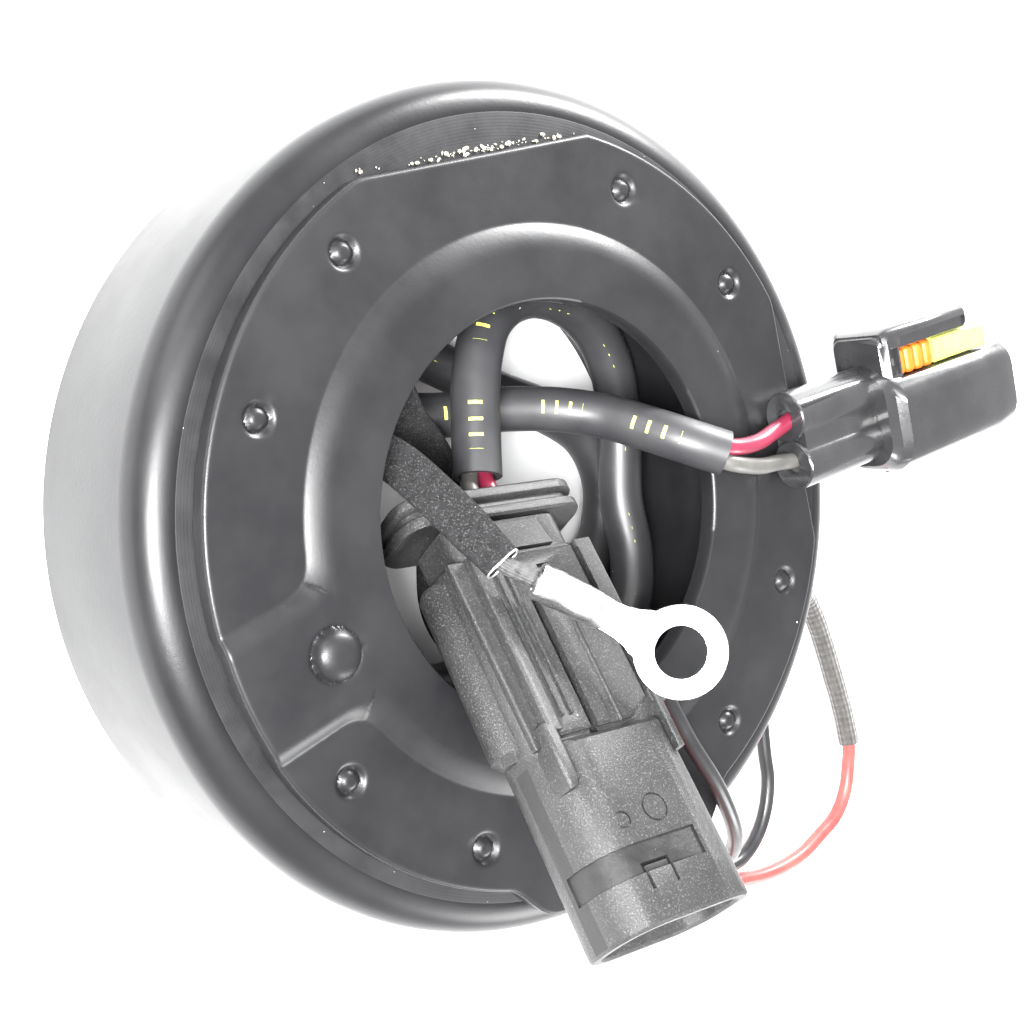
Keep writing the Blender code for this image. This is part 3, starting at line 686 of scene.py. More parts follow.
NYLON_NATURAL = Finish(
    "natural bobbin nylon", "bobbin_nylon", (0.60, 0.54, 0.40), (0.66, 0.60, 0.46),
    (0.45, 0.6), grain=0.3, bump=0.02,
)
COPPER = Finish(
    "enamelled copper winding", "copper", (0.62, 0.24, 0.10), (0.78, 0.36, 0.16),
    (0.25, 0.4), metallic=1.0, patch=5.0, bump=0.12, weave=Weave.WOUND,
)
TAPE = Finish(
    "yellow winding tape", "tape", (0.52, 0.42, 0.13), (0.60, 0.49, 0.18), (0.35, 0.5),
    patch=6.0, bump=0.03,
)
EPOXY = Finish(
    "black casting resin", "epoxy", (0.018, 0.018, 0.02), (0.03, 0.03, 0.033), (0.15, 0.3),
    coat=0.6, patch=12.0, grain=3.0, bump=0.12, dust=0.1, dust_spacing=4.0,
)
RUBBER = Finish(
    "moulded black rubber", "black_rubber", (0.018, 0.018, 0.018), (0.03, 0.03, 0.03),
    (0.6, 0.75), grain=0.25, bump=0.02, dust=0.06, dust_spacing=2.0,
)
FRICTION_TAPE = Finish(
    "harness tape", "black_rubber", (0.015, 0.015, 0.016), (0.028, 0.028, 0.03),
    (0.4, 0.6), patch=4.0, grain=0.5, bump=0.06, dust=0.08, dust_spacing=2.5,
)
SLEEVING = Finish(
    "black vinyl sleeving", "black_pvc", (0.022, 0.022, 0.024), (0.031, 0.031, 0.033),
    (0.36, 0.46), patch=7.0, grain=0.5, bump=0.010, dust=0.10, dust_spacing=2.4,
    weave=Weave.PRINTED,
)
BLACK_INSULATION = Finish(
    "black lead insulation", "black_pvc", (0.012, 0.012, 0.013), (0.02, 0.02, 0.022),
    (0.30, 0.42), patch=5.0, grain=0.3, bump=0.01,
)
GLASS_BRAID = Finish(
    "glass fibre braid", "glass_braid", (0.018, 0.017, 0.016), (0.052, 0.049, 0.045),
    (0.8, 0.95), sheen=0.3, patch=1.2, grain=0.35, bump=0.16, weave=Weave.BRAID,
)
FELT = Finish(
    "black felt", "felt", (0.008, 0.008, 0.008), (0.018, 0.018, 0.019), (0.85, 0.98), specular=0.2,
    patch=0.7, grain=0.22, bump=0.16, dust=0.10, dust_spacing=0.7, sparkle=0.22,
    weave=Weave.FELTED,
)
RED = Finish(
    "red silicone insulation", "red_insulation", (0.78, 0.035, 0.035), (0.86, 0.06, 0.05),
    (0.32, 0.42), patch=5.0, grain=0.4, bump=0.01,
)
ROSE = Finish(
    "rose insulation", "rose_insulation", (0.15, 0.012, 0.030), (0.19, 0.018, 0.042),
    (0.3, 0.4), patch=4.0, grain=0.3, bump=0.008,
)
GREY = Finish(
    "grey insulation", "grey_insulation", (0.060, 0.058, 0.054), (0.078, 0.076, 0.070),
    (0.35, 0.5), patch=4.0, grain=0.3, bump=0.008,
)
TIN = Finish(
    "bright tin plate", "tin", (0.80, 0.80, 0.79), (0.88, 0.88, 0.87), (0.20, 0.34),
    metallic=1.0, patch=2.5, grain=0.25, bump=0.012,
)
STRANDS = Finish(
    "tinned strands", "tin", (0.55, 0.55, 0.55), (0.80, 0.80, 0.79), (0.3, 0.5),
    metallic=0.85, patch=0.8, grain=0.2, bump=0.06,
)
SOCKET_NYLON = Finish(
    "grained black nylon", "socket_nylon", (0.013, 0.013, 0.013), (0.019, 0.019, 0.019),
    (0.42, 0.50), patch=6.0, grain=0.20, bump=0.07, dust=0.05, dust_spacing=1.6,
    sparkle=0.24,
)
SOCKET_BAND = Finish(
    "polished band of the socket", "socket_nylon", (0.012, 0.012, 0.012),
    (0.018, 0.018, 0.018), (0.40, 0.55), specular=0.3, patch=2.0, grain=0.4, bump=0.05,
    dust=0.3, dust_spacing=0.7,
)
PLUG_NYLON = Finish(
    "smooth black nylon", "plug_nylon", (0.016, 0.016, 0.017), (0.021, 0.021, 0.022),
    (0.24, 0.30), coat=0.35, patch=5.0, grain=0.5, bump=0.010, dust=0.04, dust_spacing=2.0,
)
ORANGE = Finish(
    "orange silicone seal", "orange_silicone", (0.52, 0.10, 0.004), (0.60, 0.14, 0.008),
    (0.38, 0.5), patch=3.0, grain=0.3, bump=0.01,
)
BRAIDED_WIRE = Finish(
    "dark braided wire", "black_rubber", (0.02, 0.02, 0.02), (0.06, 0.06, 0.06), (0.55, 0.75),
    patch=0.8, grain=0.25, bump=0.12, weave=Weave.BRAID,
)
FLOOR = Finish(
    "white backdrop", "floor", (0.66, 0.66, 0.66), (0.68, 0.68, 0.68), (0.8, 0.9),
    specular=0.2, patch=80.0, grain=2.0, bump=0.01,
)
YELLOW = Finish(
    "yellow lock nylon", "yellow_nylon", (0.50, 0.52, 0.10), (0.56, 0.58, 0.14),
    (0.3, 0.42), patch=4.0, grain=0.3, bump=0.01,
)


# --------------------------------------------------------------------------- pieces


def placed(
    obj: bpy.types.Object, body: str = BODY, nodes: tuple[str, ...] = ()
) -> bpy.types.Object:
    """Makes a piece ride on its body and hides the CAD nodes that it replaces.

    Args:
        obj: The piece.
        body: The body that it moves with.
        nodes: CAD nodes that it replaces.

    Returns:
        The piece.
    """
    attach(obj, body)
    if nodes:
        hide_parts(*nodes)
    return obj


@dataclass(frozen=True)
class CoilSizes:
    """Sizes of the steel cup and of what it holds."""

    radius: float = 48.0
    height: float = 25.4
    wall: float = 1.8
    corner: float = 4.0
    bore: float = 32.0
    grommet_azimuth: float = 17.7
    grommet_height: float = 14.5
    grommet_wide: float = 4.7
    grommet_tall: float = 2.8


class Coil:
    """The black steel cup with its bobbin, winding, tape and casting resin."""

    def __init__(self, sizes: CoilSizes = CoilSizes()) -> None:
        """Keeps the sizes."""
        self.sizes = sizes

    def build(self, frame: dict) -> None:
        """Makes the cup and gives the inner nodes their finishes.

        Args:
            frame: The loaded frame.
        """
        s = self.sizes
        profile = [(s.bore, 0.25), (s.bore, s.height - 0.8), (s.bore + 0.25, s.height - 0.25)]
        profile += [(s.bore + 0.8, s.height), (s.bore + 6.0, s.height)]
        step = s.radius - s.corner
        profile += [(step - 0.5, s.height), (step - 0.2, s.height - 0.05)]
        for i in range(13):
            turn = math.pi / 2 * (1 - i / 12)
            profile.append((
                step + s.corner * math.cos(turn), s.height - s.corner + s.corner * math.sin(turn),
            ))
        inner = s.radius - s.wall
        profile += [(s.radius, 12.0), (s.radius, 0.3), (s.radius - 0.3, 0.0), (inner + 0.3, 0.0)]
        profile += [(inner, 0.3), (inner, s.height - s.corner), (inner - 2.2, s.height - s.wall)]
        profile += [(s.bore + s.wall, s.height - s.wall), (s.bore + s.wall, 0.3)]
        profile += [(s.bore + s.wall - 0.3, 0.0), (s.bore + 0.3, 0.0)]
        shell = Form().lathe(profile, 256).make("coil_cup", PAINT, 30)
        hole = rounded(s.grommet_wide + 0.3, s.grommet_tall + 0.3, 3.1)
        cutter = Form().loft(stations((44.0, hole), (52.0, hole)), self.side())
        combined(shell, [], [cutter], bevel=0.0)
        placed(shell, nodes=("coil_shell",))
        for node, look in (
            ("bobbin", NYLON_NATURAL), ("copper_winding", COPPER), ("coil_tape", TAPE),
        ):
            dress(frame, node, look)
        self.resin()
        self.groove()
        self.crumbs()
        self.grommet()

    def side(self) -> Matrix:
        """Returns the frame of the lead exit, X out through the wall."""
        turn = math.radians(self.sizes.grommet_azimuth)
        out = (math.cos(turn), math.sin(turn), 0)
        return rig((0, 0, self.sizes.grommet_height), out, (0, 0, 1))

    def resin(self) -> None:
        """Casts the ring of resin that closes the open side, with its meniscus."""
        s = self.sizes
        low, high = s.bore + s.wall + 0.3, s.radius - s.wall - 0.4
        profile = [(low, 0.6), (low, 3.2), (high, 3.2), (high, 0.6), (high - 0.6, 0.85)]
        profile += [(high - 2.0, 1.0), (low + 2.0, 1.0), (low + 0.6, 0.85)]
        placed(Form().lathe(profile).make("casting_resin", EPOXY), nodes=("potting_ring",))

    def groove(self) -> None:
        """Turns the rough dark web that shows between the rim and the plate."""
        top = self.sizes.height
        profile = [(36.0, top + 0.01), (36.0, top + 0.06), (43.7, top + 0.06), (43.9, top + 0.01)]
        placed(Form().lathe(profile, 256).make("turned_web", PAINT_TURNED))

    def crumbs(self) -> None:
        """Scatters the pale crumbs of sealer that are left in the groove."""
        form, top, turn = Form(), self.sizes.height + 0.05, 0.0
        for i in range(90):
            pick = [math.modf(math.sin(k * 12.9898 + i * 78.233) * 43758.5453)[0] for k in range(5)]
            pick = [abs(value) for value in pick]
            turn = math.radians(133.0 + 36.0 * (pick[0] - 0.5) * (1.2 if i % 3 else 0.3))
            edge = min(42.2, 39.3 / max(0.5, math.cos(turn - math.radians(135.0))))
            away = edge + 0.35 + 0.7 * pick[1]
            size = 0.07 + 0.2 * pick[2] ** 3
            spot = Matrix.Translation((away * math.cos(turn), away * math.sin(turn), top))
            spot = spot @ Matrix.Rotation(6.3 * pick[3], 4, "Z")
            form.loft([
                [(x * (1 + pick[4]), y, z) for x, y in ring(size * part, 6)]
                for z, part in ((0.0, 1.0), (size * 0.7, 0.85), (size * 1.1, 0.4))
            ], spot)
        placed(form.make("sealer_crumbs", CRUMBS, 20))

    def grommet(self) -> None:
        """Moulds the rubber boot with its flange and lip."""
        s, r = self.sizes, self.sizes.radius
        wide, tall = s.grommet_wide, s.grommet_tall
        boot = Form().loft(stations(
            (r - s.wall - 0.3, rounded(wide, tall, 2.8)), (r + 0.7, rounded(wide, tall, 2.8)),
            (r + 0.7, rounded(wide + 0.9, tall + 0.9, 3.4)),
            (r + 0.9, rounded(wide + 1.2, tall + 1.2, 3.6)),
            (r + 1.6, rounded(wide + 1.2, tall + 1.2, 3.6)),
            (r + 1.9, rounded(wide + 0.8, tall + 0.8, 3.3)),
            (r + 2.0, rounded(wide - 0.6, tall - 0.2, 2.4)),
            (r + 2.9, rounded(wide - 0.8, tall - 0.5, 2.2)),
            (r + 3.0, rounded(wide - 1.1, tall - 0.8, 1.9)),
        ), self.side()).make("lead_boot", RUBBER)
        placed(boot, nodes=("lead_grommet",))


def dress(frame: dict, node: str, look: Finish) -> None:
    """Gives a CAD node a finish in place of its own material."""
    mesh = frame["nodes"][node].data
    mesh.materials.clear()
    mesh.materials.append(look.material())


@dataclass(frozen=True)
class PlateSizes:
    """Sizes of the stamped mounting plate."""

    base: float = 27.9
    thick: float = 2.2
    radius: float = 42.2
    flat: float = 39.3
    hole: float = 23.1
    ear: float = 3.2
    ear_azimuth: float = -45.0
    rise: float = 1.0
    ring_top: float = 29.1
    ring_foot: float = 31.6
    arm_azimuth: float = -124.7
    arm_top: float = 5.5
    arm_foot: float = 7.2
    fillet: float = 3.2
    edge: float = 0.45
    dome: float = 2.75
    dome_height: float = 1.6
    dimple_circle: float = 37.6
    dimple_spread: float = 14.8
    dimple: float = 1.8


class MountingPlate:
    """The stamped plate: ring and arm raised with soft slopes, a dome, and eight dimples."""

    def __init__(self, sizes: PlateSizes = PlateSizes()) -> None:
        """Keeps the sizes and the directions that recur."""
        self.sizes = sizes
        turn = math.radians(sizes.arm_azimuth)
        self.arm = Vector((math.cos(turn), math.sin(turn)))
        self.spots = []
        for quarter in range(4):
            for side in (-1, 1):
                turn = math.radians(90 * quarter + side * sizes.dimple_spread)
                self.spots.append(sizes.dimple_circle * Vector((math.cos(turn), math.sin(turn))))

    def edge(self, azimuth: float) -> float:
        """Returns the plate's radius at an azimuth in degrees."""
        s, radius = self.sizes, self.sizes.radius
        for flat in (45.0, 135.0):
            away = math.cos(math.radians(azimuth - flat))
            if away > 0.5:
                radius = min(radius, s.flat / away)
        off = abs((azimuth - s.ear_azimuth + 180) % 360 - 180)
        return radius + s.ear * ease((24.0 - off) / 9.0)

    def raised(self, x: float, y: float) -> float:
        """Returns how much of the full rise a point of the plate has, from 0 to 1.

        The ring and the arm are one shape with a fillet between them: distances to the two
        are blended, so that the slope turns smoothly from one into the other.
        """
        s = self.sizes
        ring_gap = math.hypot(x, y) - s.ring_foot
        along = x * self.arm.x + y * self.arm.y
        across = abs(y * self.arm.x - x * self.arm.y)
        arm_gap = across - s.arm_foot if along > 0 else 50.0
        blend = s.fillet
        mixed = max(0.0, blend - abs(ring_gap - arm_gap)) / blend
        gap = min(ring_gap, arm_gap) - mixed * mixed * blend * 0.25
        slope = s.ring_foot - s.ring_top if ring_gap < arm_gap else s.arm_foot - s.arm_top
        part = -gap / slope
        if part <= 0:
            return 0.0
        if part >= 1.25:
            return 1.0
        return min(1.0, 1.0 - (1.0 - min(1.0, part / 1.25)) ** 1.9)

    def height(self, x: float, y: float) -> float:
        """Returns the height of the plate's upper face at a point."""
        s = self.sizes
        level = s.base + s.rise * self.raised(x, y)
        for spot in self.spots:
            away = math.hypot(x - spot.x, y - spot.y)
            if away < 2.4:
                ditch = math.exp(-(((away - 1.3) / 0.36) ** 2))
                button = 0.06 * (1 - ease((away - 0.5) / 0.4))
                level += button - 0.55 * ditch
        middle = self.arm * s.ring_foot
        away = math.hypot(x - middle.x, y - middle.y)
        if away < s.dome + 0.6:
            part = min(1.0, away / s.dome)
            cap = s.dome_height * max(0.0, 1.0 - part ** 2.6) ** 0.55
            ditch = 0.16 * math.exp(-(((away - s.dome) / 0.25) ** 2))
            level += cap - ditch
        return level

    def build(self) -> None:
        """Makes the plate on a polar grid that is finer where its shape changes."""
        s = self.sizes
        columns = self.columns()
        rows = [i / 6.0 for i in range(7)]
        rows = [0.0, 0.012, 0.03, 0.10, 0.18, 0.26, 0.30]
        rows += [0.305 + 0.0085 * i for i in range(20)]
        rows += [0.475 + 0.0102 * i for i in range(49)]
        rows += [0.976, 0.985, 0.993, 0.998, 1.0]
        rows = sorted(set(rows))
        form, count = Form(), len(rows)
        sections = []
        for azimuth in columns:
            turn, far = math.radians(azimuth), self.edge(azimuth)
            top, under = [], []
            for part in rows:
                radius = s.hole + part * (far - s.hole)
                x, y = radius * math.cos(turn), radius * math.sin(turn)
                rim = min(radius - s.hole, far - radius)
                drop = s.edge - math.sqrt(max(0.0, s.edge ** 2 - max(0.0, s.edge - rim) ** 2))
                level = self.height(x, y)
                top.append((x, y, level - drop))
                if part in (rows[0], rows[-1]) or len(under) % 6 == 3 or 0.3 < part < 0.5:
                    under.append((x, y, level - s.thick))
                else:
                    under.append((x, y, level - s.thick))
            sections.append(top + under[::-1])
        form.loft(sections, loop=True)
        plate = form.make("mounting_plate_stamped", PAINT_PLATE, 50)
        log.info("plate: %d columns, %d rows", len(columns), count)
        placed(plate, nodes=("mounting_plate",))

    def columns(self) -> list[float]:
        """Returns the azimuths of the grid's columns, in degrees, in order."""
        s, found, azimuth = self.sizes, [], -180.0
        busy = [(90 * q + k * s.dimple_spread, 4.0, 0.42) for q in range(4) for k in (-1, 1)]
        busy += [(s.arm_azimuth, 22.0, 0.42), (s.ear_azimuth, 26.0, 0.9)]
        while azimuth < 180.0 - 0.2:
            found.append(azimuth)
            step = 1.5
            for middle, reach, fine in busy:
                if abs((azimuth - middle + 180) % 360 - 180) < reach:
                    step = min(step, fine)
            azimuth += step
        return found


# --------------------------------------------------------------------------- harness

SLEEVE_LONG_ROUTE = [
    (23.9, 0.7, 4.5), (25.5, 5.6, 3.6), (25.0, 11.2, 3.0), (21.9, 16.3, 3.0),
    (16.6, 19.2, 3.0), (9.6, 19.0, 3.0), (0.7, 16.9, 3.0), (-7.5, 15.6, 3.0),
    (-16.4, 13.6, 3.0), (-23.8, 9.0, 3.0), (-28.0, 0.4, 3.0), (-26.9, -9.9, 3.0), (-20.4, -20.1, 3.0),
    (-10.4, -26.5, 3.0), (1.3, -28.6, 3.0), (13.5, -25.3, 3.4), (22.6, -17.5, 6.4),
    (27.4, -7.3, 10.4), (27.7, 1.0, 11.6), (25.6, 7.1, 10.6), (21.6, 12.7, 9.4),
    (17.7, 19.5, 9.2), (14.4, 23.5, 9.6), (11.2, 25.8, 10.6), (6.3, 27.9, 11.6),
    (0.5, 28.2, 12.8), (-5.4, 26.3, 13.9), (-9.4, 22.8, 14.9), (-11.5, 18.4, 16.1),
    (-11.5, 13.9, 17.3), (-10.1, 8.9, 18.4), (-8.2, 4.4, 19.4), (-6.6, 0.5, 20.4),
]
SLEEVE_SHORT_ROUTE = [
    (15.0, -15.6, 3.9), (12.2, -18.9, 3.4), (7.0, -21.4, 3.0), (-0.7, -21.8, 3.0),
    (-9.3, -19.5, 3.2), (-16.3, -14.1, 4.0), (-19.4, -6.5, 6.4), (-17.9, -0.6, 9.0),
    (-14.6, 3.7, 10.8), (-9.7, 6.9, 12.2), (-4.1, 11.0, 14.2), (1.5, 14.2, 17.2),
    (5.3, 15.5, 20.8), (8.1, 15.6, 25.1), (11.5, 15.6, 29.5), (15.6, 16.2, 32.2),
]
FELT_ROUTE = [
    (11.8, -12.4, 6.4), (8.7, -13.7, 6.9), (4.2, -11.8, 7.6), (-1.2, -6.0, 9.8),
    (-5.7, 0.5, 11.6), (-11.5, 1.8, 15.2), (-17.2, 1.8, 19.0), (-22.9, 3.8, 20.4),
    (-26.7, 1.9, 20.3), (-27.7, -2.7, 20.4), (-24.5, -5.5, 21.2), (-19.6, -4.2, 23.0),
    (-14.8, -6.7, 28.9), (-10.6, -9.0, 32.6), (-8.3, -10.4, 34.7),
]
HEAT_SLEEVE_ROUTE = [
    (48.6, 17.2, 14.5), (52.7, 18.3, 13.6), (57.2, 19.0, 9.4), (61.9, 19.4, 5.4),
    (66.0, 19.9, 3.0), (71.9, 17.6, 1.9), (78.2, 12.9, 1.9), (83.7, 8.5, 1.9),
    (87.4, 5.0, 1.9),
]
RED_LEAD_ROUTE = [
    (87.7, 4.4, 1.9), (89.5, 1.9, 1.5), (91.1, -1.7, 1.3), (91.1, -6.0, 1.3),
    (89.2, -10.0, 1.3), (86.9, -14.0, 1.3), (83.4, -17.6, 1.3), (79.9, -20.2, 1.3),
    (76.6, -22.0, 1.3), (71.8, -24.6, 1.9), (66.4, -26.8, 5.4), (59.6, -27.6, 13.0),
    (51.6, -26.9, 21.6), (43.0, -25.0, 28.0), (34.5, -21.8, 30.1), (27.0, -18.8, 30.2),
    (23.0, -17.0, 30.6), (18.6, -14.6, 30.8), (16.2, -13.0, 28.4), (15.6, -12.6, 21.5),
    (15.5, -12.4, 15.0), (15.2, -12.2, 8.9),
]
BLACK_LEAD_ROUTE = [
    (50.0, 14.1, 14.5), (54.2, 14.0, 13.0), (58.4, 11.9, 8.8), (62.2, 8.4, 4.6),
    (65.6, 4.3, 1.9), (68.6, 0.2, 1.3), (71.7, -3.9, 1.3), (74.2, -6.9, 1.3),
    (76.0, -11.4, 1.3), (76.2, -15.5, 1.3), (74.7, -19.6, 1.3), (70.8, -22.4, 1.6),
    (65.8, -23.6, 4.4), (60.0, -24.0, 11.0), (53.3, -23.2, 19.4), (45.1, -21.0, 26.8),
    (36.5, -17.9, 29.9), (28.8, -14.9, 30.4), (24.0, -12.7, 30.7), (20.2, -10.7, 30.5),
    (18.0, -9.5, 28.2), (17.8, -9.0, 21.0), (17.6, -8.8, 15.0), (17.5, -8.7, 8.9),
]
TERMINAL_START = (-4.5, -10.2, 35.9)
TERMINAL_RING = (10.0, -10.7, 44.4)
FACING = (-0.53, -0.26, 0.81)


@dataclass(frozen=True)
class CordSizes:
    """Outside diameters of the harness, in millimetres."""

    long_sleeve: float = 5.7
    short_sleeve: float = 5.4
    sleeve_wall: float = 0.7
    lead: float = 2.0
    heat_sleeve: float = 3.1
    felt_wide: float = 4.8
    felt_thick: float = 1.6
    ground: float = 2.4
    wire: float = 2.0


class Harness:
    """Sleeves, leads, earth branch and their taped joint."""

    def __init__(self, sizes: CordSizes = CordSizes()) -> None:
        """Keeps the sizes."""
        self.sizes = sizes
        self.cords: dict[str, tuple[bpy.types.Object, list[Vector], float]] = {}

    def add(
        self, name: str, route: list[Point], diameter: float, look: Finish,
        node: str, wall: float = 0.0, swell: float = 0.0, sides: int = 28,
    ) -> bpy.types.Object:
        """Makes one round cord and keeps its line.

        Args:
            name: The piece's name.
            route: The points that it runs through.
            diameter: Its outside diameter.
            look: Its finish.
            node: The CAD node that it replaces.
            wall: Thickness of its wall where it is a sleeve.
            swell: How much its outside waves.
            sides: Points round it.

        Returns:
            The cord.
        """
        line = spread(route, 0.9)
        form = tube(line, ring(diameter / 2, sides), wall=wall, swell=swell, facing=FACING)
        made = form.make(name, look)
        placed(made, nodes=(node,))
        self.cords[name] = (made, line, diameter)
        return made

    def build(self) -> None:
        """Makes all of the harness that isn't a connector."""
        s = self.sizes
        self.add(
            "long_sleeve", SLEEVE_LONG_ROUTE, s.long_sleeve, SLEEVING, "sleeve_long",
            s.sleeve_wall, 0.004,
        )
        self.add(
            "short_sleeve", SLEEVE_SHORT_ROUTE, s.short_sleeve, SLEEVING, "sleeve_short",
            s.sleeve_wall, 0.004,
        )
        self.add(
            "braided_sleeve", HEAT_SLEEVE_ROUTE, s.heat_sleeve, GLASS_BRAID, "heat_sleeve",
            0.35, 0.02,
        )
        inner = HEAT_SLEEVE_ROUTE[:-1] + RED_LEAD_ROUTE
        self.add("coil_lead_red", inner, s.lead, RED, "red_lead", sides=20)
        self.add("coil_lead_black", BLACK_LEAD_ROUTE, s.lead, BLACK_INSULATION, "black_lead", sides=20)
        self.felt()
        self.joint()
        self.earth_wire()

    def felt(self) -> None:
        """Makes the flat felt sleeve, open where the earth wire leaves it."""
        s, line = self.sizes, spread(FELT_ROUTE, 0.8)
        half, thin = s.felt_wide / 2, s.felt_thick / 2
        form, sections, run = Form(), [], 0.0
        count = 32
        frames = [
            rig(p, line[min(i + 1, len(line) - 1)] - line[max(i - 1, 0)], FACING)
            for i, p in enumerate(line)
        ]

        def section(frame: Matrix, wide: float, thick: float, away: float) -> None:
            """Adds one flattened section with a soft dip along its middle."""
            shape = []
            for y, z in flattened(wide, thick, count):
                shape.append(frame @ Vector((0, y, z)))
            sections.append(shape)
            form.marks.extend((i / count, away) for i in range(count))

        total = length_of(line)
        for i, frame in enumerate(frames):
            if i:
                run += (line[i] - line[i - 1]).length
            mouth = ease((run - total + 6.0) / 6.0)
            section(frame, half * (1 - 0.12 * mouth), thin * (1 + 0.75 * mouth), run)
        for back, shrink in ((0, 0.86), (1, 0.84), (2, 0.80), (4, 0.75), (6, 0.6)):
            frame = frames[-1 - back]
            section(frame, half * 0.88 * shrink, thin * 1.75 * (shrink - 0.14), run - back)
        form.loft(sections)
        made = form.make("felt_earth_sleeve", FELT, 60)
        placed(made, nodes=("felt_sleeve",))
        self.cords["felt_earth_sleeve"] = (made, line, s.felt_wide)
        last = frames[-1]
        loop = [last @ Vector((0.05, y, z)) for y, z in flattened(half * 0.84, thin * 1.6, 40)]
        edge = tube(loop + loop[:1], ring(0.13, 8)).make("felt_cut_edge", STRANDS)
        placed(edge)

    def joint(self) -> None:
        """Winds tape round the joint where the branches meet."""
        start, end = Vector((14.8, -13.5, 4.2)), Vector((23.6, -0.6, 4.2))
        length, rows = (end - start).length, []
        for i in range(61):
            at = length * i / 60
            taper = min(1.0, 0.80 + 0.20 * ease(min(at, length - at) / 1.2))
            lap = 0.12 * ((at / 2.6) % 1.0)
            size = 3.68 * taper + lap - 0.1
            rows.append((at, rounded(size, size + 0.05, 2.7)))
        frame = rig(start, end - start, (0, 0, 1))
        made = Form().loft(stations(*rows), frame).make("taped_joint", FRICTION_TAPE)
        placed(made, nodes=("splice_bundle",))

    def earth_wire(self) -> None:
        """Makes the short stretch of earth wire between the felt and the barrel."""
        start = Vector(TERMINAL_START)
        along = (Vector(TERMINAL_RING) - start).normalized()
        back = (Vector(FELT_ROUTE[-1]) - Vector(FELT_ROUTE[-2])).normalized()
        inside = Vector(FELT_ROUTE[-1]) - back * 1.0
        line = spread([inside, Vector(FELT_ROUTE[-1]), start + along * 0.2, start + along * 2.0], 0.5)
        thick = self.sizes.ground / 2 - 0.25
        made = tube(line, ring(thick, 20)).make("earth_wire", BRAIDED_WIRE)
        placed(made, nodes=("ground_wire",))


def flattened(wide: float, thick: float, count: int) -> list[tuple[float, float]]:
    """Outlines a flat sleeve with full rounded edges and a slight dip between them."""
    found = []
    for i in range(count):
        turn = 2 * math.pi * i / count
        c, s = math.cos(turn), math.sin(turn)
        y = wide * math.copysign(abs(c) ** 0.62, c)
        dip = 1.0 - 0.16 * math.exp(-((y / wide / 0.55) ** 2))
        found.append((y, thick * math.copysign(abs(s) ** 0.75, s) * dip))
    return found


class RingTerminal:
    """The tinned ring terminal with its crimped barrel."""

    def build(self) -> bpy.types.Object:
        """Makes the terminal and returns it."""
        start, centre = Vector(TERMINAL_START), Vector(TERMINAL_RING)
        frame = rig(centre, centre - start, FACING)
        back = -(centre - start).length
        outline = [(back + 7.6, 1.5), (-8.6, 1.62), (-6.9, 1.75), (-5.6, 2.1), (-4.75, 2.5)]
        for i in range(49):
            turn = math.radians(148 - 296 * i / 48)
            outline.append((4.95 * math.cos(turn), 4.95 * math.sin(turn)))
        outline += [(x, -y) for x, y in reversed(outline[:5])]
        sections = [[(x, y, z) for x, y in outline] for z in (-0.4, 0.4)]
        tongue = Form().loft(sections, frame).make("earth_terminal", TIN)
        hole = Form().loft([[(x, y, z) for x, y in ring(2.8, 48)] for z in (-2, 2)], frame)
        barrel = Form().loft(stations(
            (back, ring(1.72, 32)), (back + 0.25, ring(2.0, 32)), (back + 2.6, ring(2.0, 32)),
            (back + 3.1, ring(1.97, 32, 0.86)), (back + 4.1, ring(1.95, 32, 0.76)),
            (back + 5.0, ring(1.97, 32, 0.84)), (back + 6.3, ring(1.97, 32, 0.86)),
            (back + 7.0, ring(1.9, 32, 0.72)), (back + 8.8, ring(1.65, 32, 0.33)),
            (back + 9.2, ring(1.5, 32, 0.27)),
        ), frame)
        mouth = Form().loft(stations((back - 1, ring(1.5, 24)), (back + 1.6, ring(1.5, 24))), frame)
        marks = []
        for i in range(4):
            at = back + 3.5 + i * 0.95
            side = 1.15 if i % 2 else -0.2
            marks.append(Form().box((at, side - 0.5, 1.42), (at + 0.28, side + 0.5, 2.4), frame))
        nick = Form().box((1.6, -5.4, -1.0), (2.3, -4.72, 1.0), frame)
        seam = Form().box((back + 0.4, -0.12, -2.4), (back + 7.2, 0.12, -1.2), frame)
        combined(tongue, [barrel], [hole, mouth, seam, nick, *marks], bevel=0.13, segments=2)
        return placed(tongue, nodes=("ring_terminal",))


